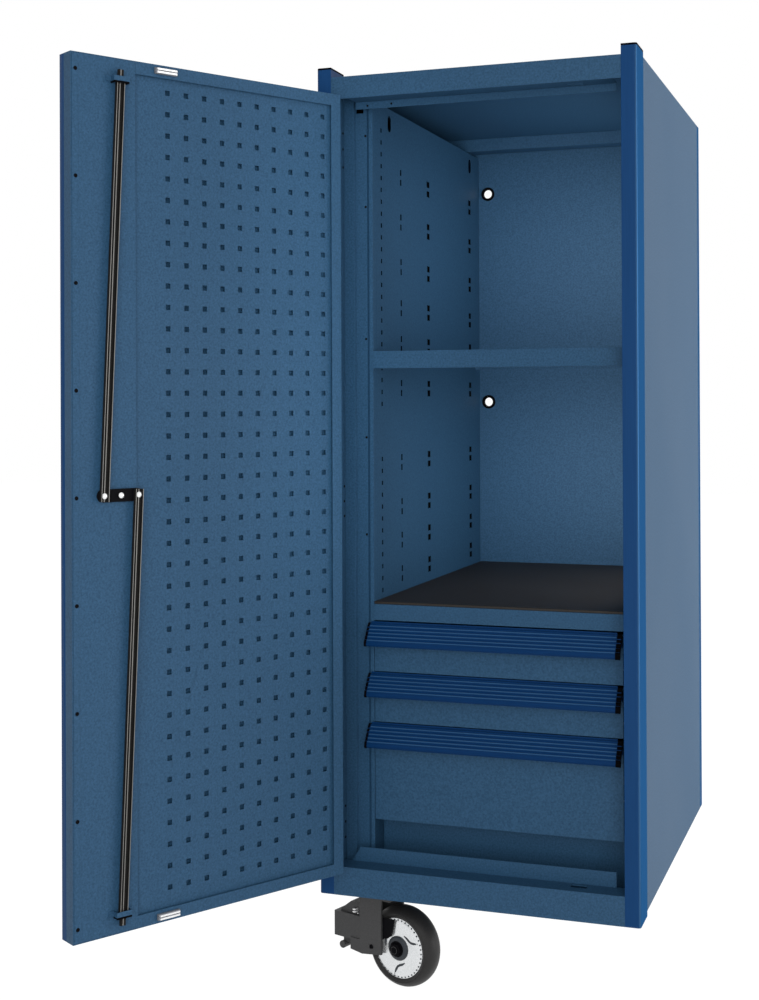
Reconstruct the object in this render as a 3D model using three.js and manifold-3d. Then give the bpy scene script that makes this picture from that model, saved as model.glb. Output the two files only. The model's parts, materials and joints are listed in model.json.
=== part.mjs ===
import * as THREE from 'three';
import { mergeGeometries, mergeVertices } from 'three/addons/utils/BufferGeometryUtils.js';
import Module from 'manifold-3d';

// Steel side locker for a roll cabinet: extruded corner posts, folded sheet panels,
// a pegboard door with a three-point rod lock, three drawers and two swivel casters.
// Built with the front of the posts at y = 0, their feet at z = 0 and x = 0 half-way across.

// Overall sizes, in millimetres.
const width = 512;
const depth = 672;
const postHeight = 1312;
const sheet = 1.5;
const looseFit = 0.3;
const runningFit = 0.06;
const turnedGap = 0.1;
const overlap = 1;
const over = 5;

// Corner posts and their caps.
const postWidth = 24;
const frontPostDepth = 56;
const rearPostDepth = 28;
const postWall = 2;
const postFrontWall = 4;
const postCornerRadius = 5;
const capThickness = 3;
const capPlugDepth = 12;

// Outer faces, and the inner faces of the posts.
const left = -width / 2;
const right = width / 2;
const innerLeft = left + postWidth;
const innerRight = right - postWidth;

// Outer panels.
const panelBottom = 8;
const panelTop = postHeight - 10;
const roofTop = panelTop - 6;
const baseThickness = 2;

// Front frame: header, sill and jambs.
const ledgeDepth = 36;
const headerHeight = 35;
const headerBottom = roofTop - headerHeight;
const headerLipDrop = 11.5;
const headerFlange = 30;
const sillTop = 45;
const sillLipRise = 23;
const sillFlange = 20;
const headerNotchLeft = 28;
const headerNotchRight = 13;
const headerNotchFront = 4;
const sillNotchLeft = [17, 32];
const sillNotchRight = 19;
const jambFront = 54;
const jambFlange = 40;
const jambReturn = 72;
const jambBand = 18;
const jambBandSlope = 2;
const jambSink = 6;
const jambStrip = 6;
const jambStripSlope = 5;
const jambStripSink = 2;
const jambNotchWidth = 12;
const jambNotchDrop = 13;

// Inner walls, back wall openings and the channel under the roof.
const hingeJamb = 49;
const lockJamb = 10;
const wallLeft = innerLeft + hingeJamb;
const wallRight = innerRight - lockJamb;
const wallTop = roofTop - 28;
const slotWidth = 6;
const slotHeight = 10;
const slotPairGap = 17;
const slotColumns = [194, depth - 330, depth - 70];
const slotRows = [25, 82, 139, 214, 340, 415, 476, 546, 622, 698];
const clipSlotWidth = 5;
const clipSlotHeight = 7;
const clipSlotPitch = 19.5;
const clipSlotY = 97;
const clipFields = [[17, 12], [322, 24]];
const wallHoleWidth = 15;
const wallHoleHeight = 27;
const wallHoleDrop = 25;
const wallHoleColumns = [137, depth - 67];
const grommetX = wallLeft + 19;
const grommetOuterRadius = 13.5;
const grommetHoleRadius = 8.5;
const grommetNeckRadius = 10.5;
const grommetFlange = 3;
const channelWidth = 40;
const channelDepth = 25;
const backSpace = 32;
const channelBack = depth - backSpace;
const channelFront = channelBack - channelWidth;
const channelBottom = roofTop - channelDepth;

// Shelf, drawer deck and mat.
const shelfAboveDeck = 407;
const shelfLip = 28;
const shelfBack = depth - backSpace;
const hem = 10;
const deckTop = 455;
const deckLip = 26;
const shelfTop = deckTop + shelfAboveDeck;
const grommetHeights = [roofTop - 100, shelfTop - 83];
const matThickness = 4;
const matMargin = 0.6;

// Drawers: face heights from the top down.
const drawerHeights = [77, 77, 153];
const drawerGap = 4;
const deckGap = 5;
const drawerTop = deckTop - deckLip - deckGap;
const drawerStack = drawerHeights.reduce((sum, high) => sum + high + drawerGap, -drawerGap);
const faceFront = 55;
const faceSideGap = 1;
const trayBackGap = 61;
const trayFloorRise = 6;
const trayRimDrop = 13;
const toeSetback = 43;
const toeGap = 3;
const slideSpace = 13;
const slideSetback = 6;
const slideHeight = 28;
const slideReach = 10.5;
const runnerSetback = 5;
const trayDepth = depth - faceFront - slideSetback - trayBackGap;

// Drawer pulls: a sloping ribbed plate with a rolled lower edge.
const pullHeight = 34;
const pullFront = 30;
const pullPlate = 3;
const pullFlange = 2;
const pullRib = 1;
const pullRibs = 5;
const pullBackFlange = 20;
const pullTopLand = 4;
const pullTopRound = [1, 2];
const pullFootRise = 6;
const pullRoll = [[0, 3], [2, 0], [5, 0], [6, 4]];
const pullInnerFoot = [1, 9];
const pullInnerTop = 5;
const ribSteps = [[0.12, 0], [0.24, 1], [0.76, 1], [0.88, 0]];
const pullLeft = wallLeft - 8;
const pullRight = wallRight - 2;

// Door, measured from the hinge pin when it is shut.
const pinY = -19.5;
const openAngle = 121;
const leaf = 1.2;
const leafGap = 0.05;
const leafOuter = leaf + leafGap;
const pinX = innerLeft + leafOuter;
const doorStart = leafOuter + turnedGap;
const doorSideGap = 2.4;
const doorEndGap = 3;
const doorEnd = innerRight - doorSideGap - pinX;
const doorFront = 4.5;
const doorThickness = 32;
const doorInner = doorFront + doorThickness;
const doorBottom = sillTop + doorEndGap;
const doorTop = headerBottom - doorEndGap;
const doorFlange = 18;
const edgePullWidth = 20;
const edgePullDepth = 12;
const grooveDepth = 10;
const grooveWall = 5;
const grooveLip = 9;
const grooveLipSides = [3, 4];
const stileWidth = 99;
const pegRecess = 6;

// Peg holes.
const pegPitch = 30.5;
const pegHole = 7.5;
const pegStileMargin = 55;
const pegTopMargin = 37;
const pegHingeMargin = 20;
const pegFootMargin = 30;
const pegFirstX = doorEnd - stileWidth - pegStileMargin;
const pegFirstZ = doorTop - pegTopMargin;
const pegColumns = Math.floor((pegFirstX - doorStart - pegHingeMargin) / pegPitch) + 1;
const pegRows = Math.floor((pegFirstZ - doorBottom - pegFootMargin) / pegPitch) + 1;

// Piano hinge.
const knuckleRadius = 4;
const pinRadius = 2.5;
const knuckles = 11;
const doorLeafDepth = 28;
const postLeafDepth = 50;
const roundSides = 14;

// Rod lock.
const lockInset = 72;
const lockX = doorEnd - lockInset;
const lockZ = (doorBottom + doorTop) / 2;
const camRadius = 26.5;
const camThickness = 3;
const camWidth = 18;
const camLift = 0.8;
const spindleRadius = 6;
const rodWidth = 12;
const rodDepth = 6;
const rodWall = 1.2;
const rodEnd = 8;
const rodTipTop = 16;
const rodTipBottom = 12;
const rodPlay = 4.8;
const ledgeSlotSpare = [2, 3];
const guideInset = 30;
const guideHeight = 7;
const guideFoot = 8;
const guideGap = 0.5;
const handleLength = 96;
const handleWidth = 18;
const handleLift = 14;
const handleThickness = 12;
const collarRadius = 20;
const collarThickness = 6;
const rivetHead = 1.5;
const rivetHeight = 2;
const magnetSize = [33, 7, 9];
const magnetFromStile = 48;
const magnetX = doorEnd - stileWidth - magnetFromStile;

// Casters: trail runs along local +X from the swivel axis.
const casterX = left + 68;
const casterY = 76;
const casterTurn = -18;
const plateSize = [84, 68, 4];
const kingpinRadius = 8;
const kingpinLength = 15;
const wheelRadius = 63.5;
const wheelWidth = 40;
const rimRadius = 47;
const axleRadius = 6;
const axleDrop = 93;
const trail = 57;
const legThickness = 4;
const legGap = 2.5;
const yokeTopThickness = 10;
const crownRadius = 30;
const crownHalf = 24;
const hoodEnd = 46;
const hoodUnder = -17;
const crownStep = 2;
const crownSides = 20;
const axleStub = 3;
const housingX = [-69, -14];
const housingZ = [-92, -52];
const housingInset = 2;
const stepInset = 6;
const pedalAt = [-26, -100];
const pedalHubWall = 3.5;
const pedalHubHalf = 14;
const pedalArm = [-34, 0];
const pedalArmHalf = 12;
const pedalArmZ = [-4, 3];
const pedalBarAt = [-32, -8];
const pedalBarRadius = 6;
const pedalBarHalf = 18;
const wheelSides = 28;

// Wheel sections, as (radius or drop in radius, distance in from the side face).
const tyreSteps = [[6, 0], [1.5, 5], [0, 11]];
const rimSteps = [[14, -1], [17, 3], [38, 1], [rimRadius, 3]];

// Caster legs in (x, z), z from the posts' feet: both are plates that widen at the pedal's pin,
// and the inner one also reaches the axle. The brake housing behind them has a sloping step on top.
const legX = [-15, 29];
const legFoot = [[29, -104], [-10, -110], [-34, -107], [-34, -88], [-15, -88]];
const legKnee = [42, -62];
const legBoss = [[12, 8.8], [14, -5], [3, -15], [-11, -12]];
const housingStep = [[-60, -54], [-60, -49], [-39, -33], [-14, -33], [-14, -54]];

// Colours.
const coat = { color: 0x35567a, roughness: 0.62, metalness: 0.15 };
const bright = { color: 0x1d4a86, roughness: 0.35, metalness: 0.45 };
const black = { color: 0x151617, roughness: 0.5, metalness: 0.05 };
const rubber = { color: 0x212122, roughness: 0.85, metalness: 0 };
const zinc = { color: 0xb9bcc0, roughness: 0.35, metalness: 0.9 };
const silver = { color: 0xd5d7d9, roughness: 0.3, metalness: 0.6 };
const castGrey = { color: 0x3b3b3c, roughness: 0.6, metalness: 0.3 };

const panelFront = frontPostDepth;
const panelBack = depth - rearPostDepth;
const baseTop = panelBottom + baseThickness;
const roofUnder = roofTop - sheet;
const plateUnder = panelBottom - plateSize[2];

const wasm = await Module();
wasm.setup();

function solid(geometry) {
  const plain = new THREE.BufferGeometry();
  plain.setAttribute('position', geometry.getAttribute('position').clone());
  if (geometry.index) plain.setIndex(geometry.index.clone());
  const merged = mergeVertices(plain, 1e-4);
  return new wasm.Manifold(new wasm.Mesh({
    numProp: 3,
    vertProperties: new Float32Array(merged.getAttribute('position').array),
    triVerts: new Uint32Array(merged.index.array),
  }));
}

function surface(body) {
  const mesh = body.getMesh();
  const geometry = new THREE.BufferGeometry();
  geometry.setAttribute('position', new THREE.BufferAttribute(new Float32Array(mesh.vertProperties), 3));
  geometry.setIndex(new THREE.BufferAttribute(new Uint32Array(mesh.triVerts), 1));
  geometry.computeVertexNormals();
  return geometry;
}

function join(...geometries) {
  return surface(geometries.map(solid).reduce((total, next) => total.add(next)));
}

function cut(geometry, ...tools) {
  return surface(tools.map(solid).reduce((total, next) => total.subtract(next), solid(geometry)));
}

// A block between two corners.
function block(x0, x1, y0, y1, z0, z1) {
  const geometry = new THREE.BoxGeometry(x1 - x0, y1 - y0, z1 - z0);
  return geometry.translate((x0 + x1) / 2, (y0 + y1) / 2, (z0 + z1) / 2);
}

// A cylinder along one axis, from one end to the other.
function rod(axis, radius, from, to, centre, sides = roundSides) {
  const geometry = new THREE.CylinderGeometry(radius, radius, to - from, sides);
  if (axis === 'x') geometry.rotateZ(-Math.PI / 2);
  if (axis === 'z') geometry.rotateX(Math.PI / 2);
  const place = [...centre];
  place.splice('xyz'.indexOf(axis), 0, (from + to) / 2);
  return geometry.translate(...place);
}

// A profile pushed along an axis. The profile is drawn in (y, z) for x, (z, x) for y and (x, y) for z.
function push(axis, points, from, to) {
  const drawn = points instanceof THREE.Shape;
  const shape = drawn ? points : new THREE.Shape(points.map((p) => new THREE.Vector2(p[0], p[1])));
  const settings = { depth: to - from, bevelEnabled: false, curveSegments: 4 };
  const geometry = new THREE.ExtrudeGeometry(shape, settings);
  geometry.translate(0, 0, from);
  const turn = new THREE.Matrix4();
  const unit = [new THREE.Vector3(1, 0, 0), new THREE.Vector3(0, 1, 0), new THREE.Vector3(0, 0, 1)];
  if (axis === 'x') turn.makeBasis(unit[1], unit[2], unit[0]);
  if (axis === 'y') turn.makeBasis(unit[2], unit[0], unit[1]);
  return geometry.applyMatrix4(turn);
}

// The outline of a folded sheet: the drawn line, and the same line moved to its left by the thickness.
function folded(line, thickness = sheet) {
  const moved = line.map((point, i) => {
    const normals = [];
    for (const j of [i - 1, i]) {
      if (j < 0 || j > line.length - 2) continue;
      const run = [line[j + 1][0] - line[j][0], line[j + 1][1] - line[j][1]];
      const size = Math.hypot(run[0], run[1]);
      normals.push([-run[1] / size, run[0] / size]);
    }
    const sum = [0, 1].map((k) => normals.reduce((total, n) => total + n[k], 0));
    const scale = thickness * normals.length / (sum[0] * sum[0] + sum[1] * sum[1]);
    return [point[0] + sum[0] * scale, point[1] + sum[1] * scale];
  });
  return [...line, ...moved.reverse()];
}

const group = new THREE.Group();
group.name = 'side_locker';
group.position.set(-right, -depth / 2, -postHeight / 2);

function addGroup(name, parent = group) {
  const child = new THREE.Group();
  child.name = name;
  parent.add(child);
  return child;
}

function add(parent, name, geometry, look) {
  geometry.computeVertexNormals();
  const mesh = new THREE.Mesh(geometry, new THREE.MeshStandardMaterial(look));
  mesh.name = name;
  parent.add(mesh);
  return mesh;
}

// Cabinet carcass.
const cabinet = addGroup('cabinet');

// A post is a tube with one rounded corner at the cabinet's outer corner.
function postShape(deep) {
  const shape = new THREE.Shape();
  const r = postCornerRadius;
  shape.moveTo(r, 0);
  shape.lineTo(postWidth, 0);
  shape.lineTo(postWidth, deep);
  shape.lineTo(0, deep);
  shape.lineTo(0, r);
  shape.quadraticCurveTo(0, 0, r, 0);
  return shape;
}

function postBody(deep, low, high, hollowTop) {
  const shell = push('z', postShape(deep), low, high);
  const bore = block(postWall, postWidth - postWall, postFrontWall, deep - postWall, low - over, hollowTop);
  return cut(shell, bore);
}

function placePost(geometry, isRight, isRear) {
  const across = isRight ? -1 : 1;
  const along = isRear ? -1 : 1;
  geometry.scale(across, along, 1);
  if (across * along < 0) {
    const order = geometry.index.array;
    for (let i = 0; i < order.length; i += 3) [order[i], order[i + 1]] = [order[i + 1], order[i]];
  }
  return geometry.translate(isRight ? right : left, isRear ? depth : 0, 0);
}

for (const side of ['left', 'right']) {
  const isRight = side === 'right';
  const postTop = postHeight - capThickness;
  const front = postBody(frontPostDepth, 0, postTop, postTop + over);
  add(cabinet, `post_front_${side}`, placePost(front, isRight, false), bright);
  const rear = postBody(rearPostDepth, panelBottom, panelTop, panelTop - postWall);
  add(cabinet, `post_rear_${side}`, placePost(rear, isRight, true), bright);
  const inset = postWall + looseFit;
  const plugFront = postFrontWall + looseFit;
  const plugZ = [postTop - capPlugDepth, postTop + overlap];
  const plug = block(inset, postWidth - inset, plugFront, frontPostDepth - inset, ...plugZ);
  const cap = join(push('z', postShape(frontPostDepth), postTop, postHeight), plug);
  add(cabinet, `cap_${side}`, placePost(cap, isRight, false), black);
}

add(cabinet, 'side_left', block(left, left + sheet, panelFront, panelBack, panelBottom, panelTop), coat);
add(cabinet, 'side_right', block(right - sheet, right, panelFront, panelBack, panelBottom, panelTop), coat);

// Roof and base fill the plan between the posts and the side panels; the base carries an upright
// toe panel that closes the space under the lowest drawer.
function plan(frontY) {
  const sideX = right - sheet;
  return [
    [-innerRight, frontY], [innerRight, frontY], [innerRight, panelFront], [sideX, panelFront],
    [sideX, panelBack], [innerRight, panelBack], [innerRight, depth - sheet], [-innerRight, depth - sheet],
    [-innerRight, panelBack], [-sideX, panelBack], [-sideX, panelFront], [-innerRight, panelFront],
  ];
}
add(cabinet, 'roof', push('z', plan(0), roofUnder, roofTop), coat);
const toeFront = faceFront + toeSetback;
const toeTop = drawerTop - drawerStack + trayFloorRise - toeGap;
const toePanel = block(wallLeft, wallRight, toeFront, toeFront + sheet, baseTop - overlap, toeTop);
add(cabinet, 'base', join(push('z', plan(sheet), panelBottom, baseTop), toePanel), coat);

// Back panel with two cable holes, each lined with a grommet.
const holeEnds = [depth - over, depth + over];
const backHoles = grommetHeights.map((z) => rod('y', grommetNeckRadius, ...holeEnds, [grommetX, z]));
const backSheet = block(innerLeft, innerRight, depth - sheet, depth, panelBottom, panelTop);
add(cabinet, 'back', cut(backSheet, ...backHoles), coat);
const halfSheet = sheet / 2;
const neck = grommetNeckRadius;
const grommetLine = [
  [grommetHoleRadius, -halfSheet - grommetFlange], [grommetOuterRadius, -halfSheet - grommetFlange],
  [grommetOuterRadius, -halfSheet], [neck, -halfSheet], [neck, halfSheet], [grommetOuterRadius, halfSheet],
  [grommetOuterRadius, halfSheet + grommetFlange], [grommetHoleRadius, halfSheet + grommetFlange],
  [grommetHoleRadius, -halfSheet - grommetFlange],
].map((p) => new THREE.Vector2(p[0], p[1]));
grommetHeights.forEach((z, i) => {
  const ring = new THREE.LatheGeometry(grommetLine, roundSides);
  add(cabinet, `grommet_${i + 1}`, ring.translate(grommetX, depth - halfSheet, z), black);
});

// Header: top flange, face, ledge over the door and a lip behind it, notched at both ends.
const rodX = pinX + lockX;
const rodY = pinY + doorInner + camLift + camThickness + rodDepth / 2;
const slotHalfX = rodWidth / 2 + rodPlay + ledgeSlotSpare[0];
const slotHalfY = rodDepth / 2 + ledgeSlotSpare[1];
const rodSlot = [rodX - slotHalfX, rodX + slotHalfX, rodY - slotHalfY, rodY + slotHalfY];
const headerLine = [
  [headerFlange, roofUnder], [0, roofUnder], [0, headerBottom],
  [ledgeDepth, headerBottom], [ledgeDepth, headerBottom - headerLipDrop],
];
const headerLipBottom = headerBottom - headerLipDrop;
const headerNotch = [headerNotchFront, ledgeDepth + over, headerLipBottom - over, headerBottom + over];
const headerTools = [
  block(innerLeft - over, innerLeft + headerNotchLeft, ...headerNotch),
  block(innerRight - headerNotchRight, innerRight + over, ...headerNotch),
  block(...rodSlot, headerBottom - over, headerBottom + over),
];
add(cabinet, 'header', cut(push('x', folded(headerLine), innerLeft, innerRight), ...headerTools), coat);

// Sill: the same section upside down, with a taller lip that slopes off at its hinge end.
const sillLine = [
  [ledgeDepth, sillTop + sillLipRise], [ledgeDepth, sillTop], [0, sillTop], [0, 0], [sillFlange, 0],
];
const sillLipTop = sillTop + sillLipRise;
const sillLipFoot = sillTop + turnedGap;
const sillNotchY = [ledgeDepth - over, ledgeDepth + over];
const sillSlope = [
  [sillLipFoot, innerLeft - over], [sillLipFoot, innerLeft + sillNotchLeft[0]],
  [sillLipTop, innerLeft + sillNotchLeft[1]], [sillLipTop + over, innerLeft + sillNotchLeft[1]],
  [sillLipTop + over, innerLeft - over],
];
const sillTools = [
  push('y', sillSlope, ...sillNotchY),
  block(innerRight - sillNotchRight, innerRight + over, ...sillNotchY, sillLipFoot, sillLipTop + over),
  block(...rodSlot, sillTop - over, sillTop + over),
];
add(cabinet, 'sill', cut(push('x', folded(sillLine), innerLeft, innerRight), ...sillTools), coat);

// Jambs: folded strips between the posts and the inner walls; the hinge side is the wide one.
const bandEnd = innerLeft + jambBand;
const stripStart = wallLeft - jambStrip;
const jambLeftLine = [
  [innerLeft + sheet, jambFlange], [innerLeft + sheet, jambFront], [bandEnd, jambFront],
  [bandEnd + jambBandSlope, jambFront + jambSink], [stripStart - jambStripSlope, jambFront + jambSink],
  [stripStart, jambFront + jambStripSink], [wallLeft, jambFront + jambStripSink], [wallLeft, jambReturn],
];
const jambNotchX = [bandEnd + jambBandSlope, bandEnd + jambBandSlope + jambNotchWidth];
const jambNotchZ = [headerBottom - jambNotchDrop, roofUnder + over];
const jambNotch = block(...jambNotchX, jambFront, jambReturn, ...jambNotchZ);
add(cabinet, 'jamb_left', cut(push('z', folded(jambLeftLine), baseTop, roofUnder), jambNotch), coat);
const jambRightLine = [
  [wallRight, jambReturn], [wallRight, jambFront],
  [innerRight - sheet, jambFront], [innerRight - sheet, jambFlange],
];
add(cabinet, 'jamb_right', push('z', folded(jambRightLine), baseTop, roofUnder), coat);

// Inner walls: pairs of slots for the shelf, a ladder of clip slots near the front, two oval holes on top.
function slottedWall(x) {
  const slots = [];
  const addSlot = (y, z, wide, high) => {
    slots.push(block(x - over, x + over, y - wide / 2, y + wide / 2, z - high / 2, z + high / 2));
  };
  for (const y of slotColumns) {
    for (const row of slotRows) {
      addSlot(y, deckTop + row, slotWidth, slotHeight);
      addSlot(y, deckTop + row + slotPairGap, slotWidth, slotHeight);
    }
  }
  for (const [first, count] of clipFields) {
    for (let i = 0; i < count; i += 1) {
      addSlot(clipSlotY, deckTop + first + i * clipSlotPitch, clipSlotWidth, clipSlotHeight);
    }
  }
  const ovals = wallHoleColumns.map((y) => {
    const r = wallHoleWidth / 2;
    const z = wallTop - wallHoleDrop;
    const reach = wallHoleHeight / 2 - r;
    const shape = new THREE.Shape();
    shape.absarc(y, z + reach, r, 0, Math.PI, false);
    shape.absarc(y, z - reach, r, Math.PI, Math.PI * 2, false);
    return push('x', shape, x - over, x + over);
  });
  const plain = block(x, x + sheet, jambReturn, depth - sheet, baseTop, wallTop);
  return cut(plain, mergeGeometries(slots), ...ovals);
}
add(cabinet, 'wall_left', slottedWall(wallLeft - sheet), coat);
add(cabinet, 'wall_right', slottedWall(wallRight), coat);

const channelLine = [
  [channelBack, roofUnder], [channelFront, roofUnder],
  [channelFront, channelBottom], [channelBack, channelBottom],
];
add(cabinet, 'roof_channel', push('x', folded(channelLine), left + sheet, right - sheet), coat);

// Shelf and drawer deck: folded trays lying between the inner walls.
function plankLine(top, lip, back, drop) {
  const line = [[jambFront + hem, top - lip], [jambFront, top - lip], [jambFront, top], [back, top]];
  if (drop) line.push([back, top - drop]);
  return folded(line, -sheet).reverse();
}
const shelfOutline = plankLine(shelfTop, shelfLip, shelfBack, hem * 2);
add(cabinet, 'shelf', push('x', shelfOutline, wallLeft, wallRight), coat);
const deckOutline = plankLine(deckTop, deckLip, depth - sheet, 0);
add(cabinet, 'deck', push('x', deckOutline, wallLeft, wallRight), coat);
const matX = [wallLeft + matMargin, wallRight - matMargin];
const matY = [jambFront + matMargin, depth - sheet - matMargin];
add(cabinet, 'mat', block(...matX, ...matY, deckTop, deckTop + matThickness), rubber);

// Drawers.
const slideFront = faceFront + slideSetback;
const slideBack = slideFront + trayDepth;
const trayLeft = wallLeft + slideSpace;
const trayRight = wallRight - slideSpace;
const trayInsideX = [trayLeft + sheet, trayRight - sheet];
const ribFoot = pullFront + pullRib;

// The pull's outline in (y, z), with z measured down from the top of the drawer face.
function pullOutline() {
  const line = [[faceFront, 0], [faceFront - pullTopLand, 0]];
  const top = [faceFront - pullTopLand - pullTopRound[0], -pullTopRound[1]];
  const foot = [ribFoot, -pullHeight + pullFootRise];
  const slope = [foot[0] - top[0], foot[1] - top[1]];
  const size = Math.hypot(slope[0], slope[1]);
  const out = [slope[1] / size * pullRib, -slope[0] / size * pullRib];
  for (let rib = 0; rib < pullRibs; rib += 1) {
    for (const [at, raised] of ribSteps) {
      const f = (rib + at) / pullRibs;
      line.push([top[0] + slope[0] * f + out[0] * raised, top[1] + slope[1] * f + out[1] * raised]);
    }
  }
  for (const [back, up] of pullRoll) line.push([pullFront + back, -pullHeight + up]);
  line.push([ribFoot + pullPlate + pullInnerFoot[0], -pullHeight + pullInnerFoot[1]]);
  line.push([faceFront - pullPlate, -pullInnerTop]);
  line.push([faceFront - pullFlange, -pullBackFlange], [faceFront, -pullBackFlange]);
  return line;
}

let faceTop = drawerTop;
drawerHeights.forEach((high, index) => {
  const number = index + 1;
  const drawer = addGroup(`drawer_${number}`);
  const bottom = faceTop - high;
  const floor = bottom + trayFloorRise;
  const rim = faceTop - trayRimDrop;
  const middle = (floor + rim) / 2;
  const inner = slideHeight / 2 - sheet - looseFit;
  const tub = cut(
    block(trayLeft, trayRight, faceFront, slideBack, floor, rim),
    block(...trayInsideX, faceFront + sheet, slideBack - sheet, floor + sheet, rim + over),
  );
  const faceX = [wallLeft + faceSideGap, wallRight - faceSideGap];
  const face = block(...faceX, faceFront, faceFront + sheet, bottom, faceTop);
  const railReach = sheet + looseFit;
  const railX = [
    [wallLeft + railReach, trayLeft + halfSheet],
    [trayRight - halfSheet, wallRight - railReach],
  ];
  const railYZ = [slideFront + runnerSetback, slideBack, middle - inner, middle + inner];
  const rails = railX.map((x) => block(...x, ...railYZ));
  add(drawer, `tray_${number}`, join(tub, face, ...rails), coat);
  const outline = pullOutline().map((p) => [p[0], p[1] + faceTop]);
  add(drawer, `pull_${number}`, push('x', outline, pullLeft, pullRight), bright);
  for (const side of ['left', 'right']) {
    const at = side === 'left' ? wallLeft : wallRight;
    const reach = side === 'left' ? at + slideReach : at - slideReach;
    const under = middle - slideHeight / 2;
    const above = middle + slideHeight / 2;
    const line = [[under, reach], [under, at], [above, at], [above, reach]];
    const profile = side === 'left' ? folded(line, sheet) : folded(line, -sheet).reverse();
    add(cabinet, `slide_${number}_${side}`, push('y', profile, slideFront, slideBack), zinc);
  }
  faceTop = bottom - drawerGap;
});

// Door, built shut about the hinge pin and then swung open.
const door = addGroup('door');
door.position.set(pinX, pinY, 0);
door.rotation.z = -THREE.MathUtils.degToRad(openAngle);

const stileX = doorEnd - stileWidth;
const notchX = doorEnd - edgePullWidth;
const notchY = doorFront + edgePullDepth;
const panOutline = (gap) => [
  [doorStart + gap, doorFront + gap], [notchX - gap, doorFront + gap], [notchX - gap, notchY + gap],
  [doorEnd - gap, notchY + gap], [doorEnd - gap, doorInner - gap], [doorStart + gap, doorInner - gap],
];
const mouthY = [doorInner - sheet - looseFit, doorInner + over];
const spindleBore = spindleRadius + looseFit;
const pan = cut(
  push('z', panOutline(0), doorBottom, doorTop),
  push('z', panOutline(sheet), doorBottom + sheet, doorTop - sheet),
  block(doorStart + doorFlange, stileX + over, ...mouthY, doorBottom + doorFlange, doorTop - doorFlange),
  block(stileX, doorEnd - sheet, ...mouthY, doorBottom + sheet, doorTop - sheet),
  rod('y', spindleBore, doorFront - over, doorFront + over, [lockX, lockZ]),
);
add(door, 'door_pan', pan, coat);

// Lock stile: a raised plate with one leg standing on the outer skin.
const stileLine = [
  [doorEnd - sheet - turnedGap, doorInner], [stileX, doorInner], [stileX, doorFront + sheet + turnedGap],
];
const fitLow = doorBottom + sheet + turnedGap;
const fitHigh = doorTop - sheet - turnedGap;
const stilePlate = push('z', folded(stileLine), fitLow, fitHigh);
const stileHole = rod('y', spindleBore, doorInner - over, doorInner + over, [lockX, lockZ]);
add(door, 'door_stile', cut(stilePlate, stileHole), coat);

// Pegboard panel: a grid of square holes.
const pegBack = doorInner - pegRecess;
const pegHoles = [];
for (let column = 0; column < pegColumns; column += 1) {
  for (let row = 0; row < pegRows; row += 1) {
    const x = pegFirstX - column * pegPitch - pegHole / 2;
    const z = pegFirstZ - row * pegPitch - pegHole / 2;
    pegHoles.push(block(x, x + pegHole, pegBack - over, pegBack + over, z, z + pegHole));
  }
}
const pegEdges = [doorStart + sheet + turnedGap, stileX - turnedGap];
const pegSheet = block(...pegEdges, pegBack - sheet, pegBack, fitLow, fitHigh);
add(door, 'pegboard', cut(pegSheet, mergeGeometries(pegHoles)), coat);

// Edge pull: an extrusion let into the free edge, with an undercut finger groove facing outwards.
const grooveX = notchX + turnedGap + sheet;
const grooveBack = doorFront + grooveDepth;
const [lipOuter, lipInner] = grooveLipSides;
const edgeLine = [
  [grooveX - sheet, doorFront], [grooveX, doorFront], [grooveX, grooveBack],
  [doorEnd - grooveWall, grooveBack], [doorEnd - grooveWall, doorFront + lipInner],
  [doorEnd - grooveLip, doorFront + lipOuter], [doorEnd - grooveLip, doorFront], [doorEnd, doorFront],
  [doorEnd, notchY - turnedGap], [grooveX - sheet, notchY - turnedGap],
];
add(door, 'edge_pull', push('z', edgeLine, doorBottom, doorTop), bright);

// Piano hinge: fixed knuckles are solid with the pin, the door's knuckles turn on it.
const knuckleLength = (doorTop - doorBottom) / knuckles;
const pinLine = [[0, doorBottom]];
const doorKnuckles = [];
const postTabs = [];
const leafStart = knuckleRadius + turnedGap + looseFit;
const tabStart = knuckleRadius - leaf;
const turningBore = pinRadius / Math.cos(Math.PI / roundSides) + runningFit;
for (let i = 0; i < knuckles; i += 1) {
  const low = doorBottom + i * knuckleLength;
  const high = low + knuckleLength;
  if (i % 2 === 0) {
    pinLine.push([knuckleRadius, low], [knuckleRadius, high]);
    postTabs.push(block(-leafOuter, -leafGap, tabStart, leafStart + overlap, low, high));
  } else {
    const ends = [low + looseFit, high - looseFit];
    pinLine.push([pinRadius, low], [pinRadius, high]);
    const tube = cut(
      rod('z', knuckleRadius, ...ends, [0, 0]),
      rod('z', turningBore, low - over, high + over, [0, 0]),
    );
    doorKnuckles.push(tube, block(leafGap, leafOuter, tabStart, leafStart + overlap, ...ends));
  }
}
pinLine.push([0, doorTop]);
const pinBody = new THREE.LatheGeometry(pinLine.map((p) => new THREE.Vector2(p[0], p[1])), roundSides);
pinBody.rotateX(Math.PI / 2);
const postLeafPlate = block(-leafOuter, -leafGap, leafStart, postLeafDepth, doorBottom, doorTop);
const postLeaf = join(postLeafPlate, pinBody, ...postTabs);
add(cabinet, 'hinge_post_leaf', postLeaf.translate(pinX, pinY, 0), coat);
const doorLeafPlate = block(leafGap, leafOuter, leafStart, doorLeafDepth, doorBottom, doorTop);
add(door, 'hinge_door_leaf', join(doorLeafPlate, ...doorKnuckles), coat);

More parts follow.
